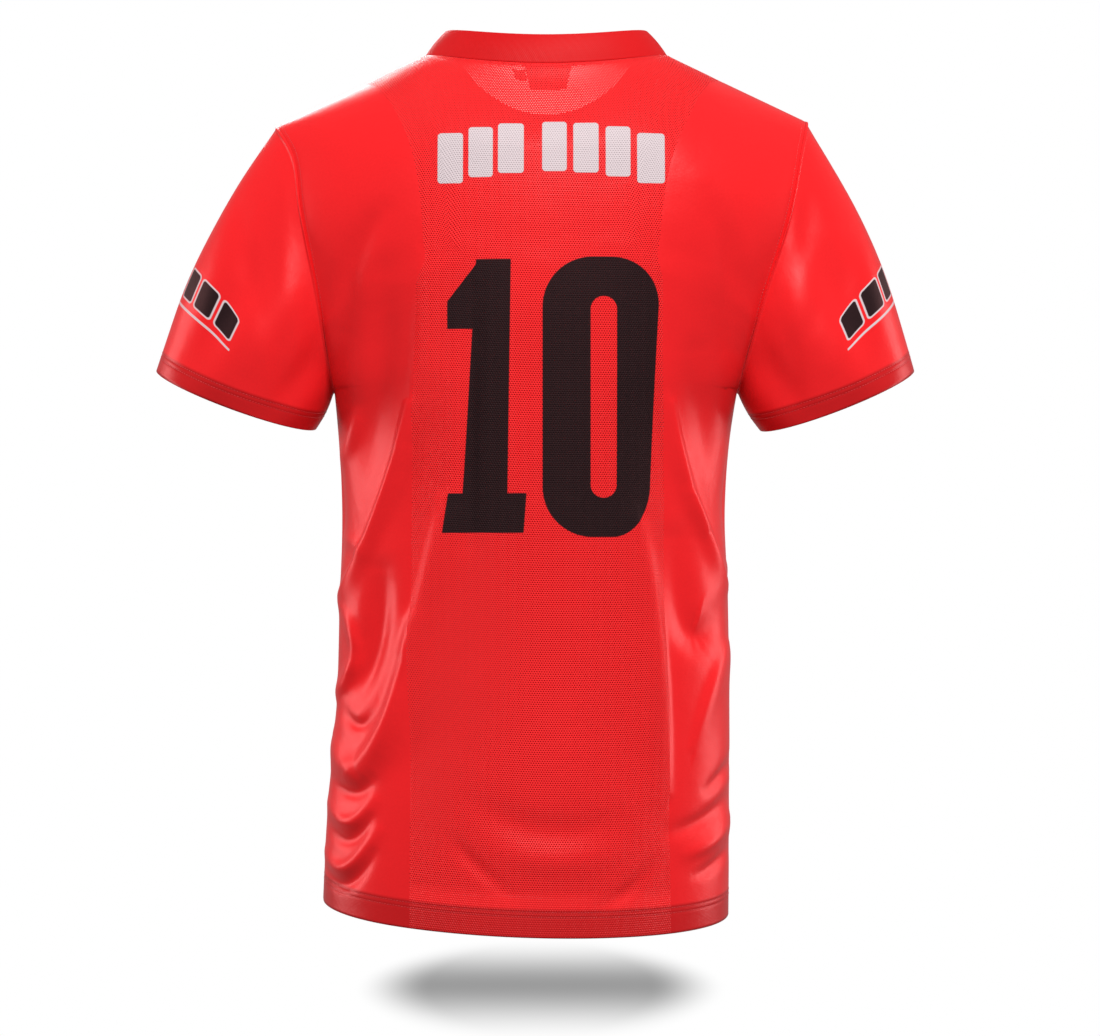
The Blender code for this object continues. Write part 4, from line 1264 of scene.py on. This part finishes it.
world = bpy.data.worlds.new("white surroundings")
bpy.context.scene.world = world
world.use_nodes = True
tree = world.node_tree
lit = tree.nodes["Background"]
lit.inputs["Color"].default_value = (1, 1, 1, 1)
lit.inputs["Strength"].default_value = 0.25
seen = tree.nodes.new("ShaderNodeBackground")
seen.inputs["Strength"].default_value = 1.0
seen.inputs["Color"].default_value = (1, 1, 1, 1)
path = tree.nodes.new("ShaderNodeLightPath")
mix = tree.nodes.new("ShaderNodeMixShader")
tree.links.new(path.outputs["Is Camera Ray"], mix.inputs["Fac"])
tree.links.new(lit.outputs["Background"], mix.inputs[1])
tree.links.new(seen.outputs["Background"], mix.inputs[2])
tree.links.new(mix.outputs["Shader"], tree.nodes["World Output"].inputs["Surface"])

# green is a light's green and blue, as a share of its red
Light = namedtuple("Light", "name x y z wide tall power green")
LIGHTS = (
    Light("light_left", -1.80, 0.45, -0.20, wide=0.4, tall=1.2, power=17, green=0.55),
    Light("light_right", 1.80, 0.50, -0.25, wide=0.4, tall=1.2, power=15, green=0.60),
    Light("light_front", -0.50, 2.30, 1.20, wide=1.2, tall=1.0, power=30, green=1.0),
    Light("light_back", 0.35, -2.30, 1.50, wide=1.2, tall=1.0, power=86, green=1.0),
)
MIDDLE = Vector((0, 0, -0.36))
for light in LIGHTS:
    data = bpy.data.lights.new(light.name, "AREA")
    data.shape = "RECTANGLE"
    data.size = light.wide
    data.size_y = light.tall
    data.energy = light.power
    data.color = (1.0, light.green, light.green)
    lamp = bpy.data.objects.new(light.name, data)
    bpy.context.scene.collection.objects.link(lamp)
    lamp.location = (light.x, light.y, light.z)
    aim = MIDDLE - lamp.location
    lamp.rotation_euler = aim.to_track_quat("-Z", "Y").to_euler()
    lamp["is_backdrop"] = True

# The shadow underfoot is painted: an oval of grey emission on a clear sheet, not a shadow that the lights
# cast.
SHADOW_HALF_WIDTH = 0.158
SHADOW_HALF_DEPTH = 0.300
SHADOW_SHEET = 0.40      # half the side of the clear sheet that it is painted on
SHADOW_DARK = 0.68

bm = bmesh.new()
bmesh.ops.create_grid(bm, x_segments=1, y_segments=1, size=SHADOW_SHEET)
mesh = bpy.data.meshes.new("shadow_underfoot")
bm.to_mesh(mesh)
bm.free()
ground = bpy.data.objects.new("shadow_underfoot", mesh)
bpy.context.scene.collection.objects.link(ground)
ground.location = (0.002, 0.050, -0.775)
painted_shadow = bpy.data.materials.new("painted shadow")
painted_shadow.use_nodes = True
tree = painted_shadow.node_tree
tree.nodes.remove(tree.nodes["Principled BSDF"])
here = tree.nodes.new("ShaderNodeTexCoord")
x, y = both_of(tree, here.outputs["Object"])
wide = calc(tree, "DIVIDE", calc(tree, "ABSOLUTE", x), SHADOW_HALF_WIDTH)
deep = calc(tree, "DIVIDE", calc(tree, "ABSOLUTE", y), SHADOW_HALF_DEPTH)
bowed = calc(tree, "MULTIPLY_ADD", calc(tree, "MULTIPLY", deep, deep), 0.6, wide)
fades = []
for away, full in ((bowed, 0.58), (deep, 0.0)):
    fade = tree.nodes.new("ShaderNodeMapRange")
    fade.interpolation_type = "SMOOTHSTEP"
    fade.inputs["From Min"].default_value = 1.0
    fade.inputs["From Max"].default_value = full
    fade.inputs["To Min"].default_value = 0.0
    fade.inputs["To Max"].default_value = 1.0
    tree.links.new(away, fade.inputs["Value"])
    fades.append(fade.outputs["Result"])
dark = calc(tree, "MULTIPLY", calc(tree, "MULTIPLY", fades[0], fades[1]), SHADOW_DARK)
clear = tree.nodes.new("ShaderNodeBsdfTransparent")
grey = tree.nodes.new("ShaderNodeEmission")
grey.inputs["Color"].default_value = (0.02, 0.02, 0.02, 1)
mix = tree.nodes.new("ShaderNodeMixShader")
tree.links.new(dark, mix.inputs["Fac"])
tree.links.new(clear.outputs["BSDF"], mix.inputs[1])
tree.links.new(grey.outputs["Emission"], mix.inputs[2])
tree.links.new(mix.outputs["Shader"], tree.nodes["Material Output"].inputs["Surface"])
mesh.materials.append(painted_shadow)
ground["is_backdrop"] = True

# the camera looks straight at the back, level with its middle
view = bpy.data.cameras.new("camera")
view.lens = 102.5
view.sensor_width = 36
camera = bpy.data.objects.new("camera", view)
bpy.context.scene.collection.objects.link(camera)
camera.location = (0.00996, -2.6, -0.380)
camera.rotation_euler = (math.radians(90), 0, 0)
bpy.context.scene.camera = camera
bpy.context.scene.view_settings.view_transform = "Standard"

lowest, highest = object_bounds()
sizes = {
    "cad_box": [list(corner) for corner in cad_box],
    "shown_box": [list(lowest), list(highest)],
}
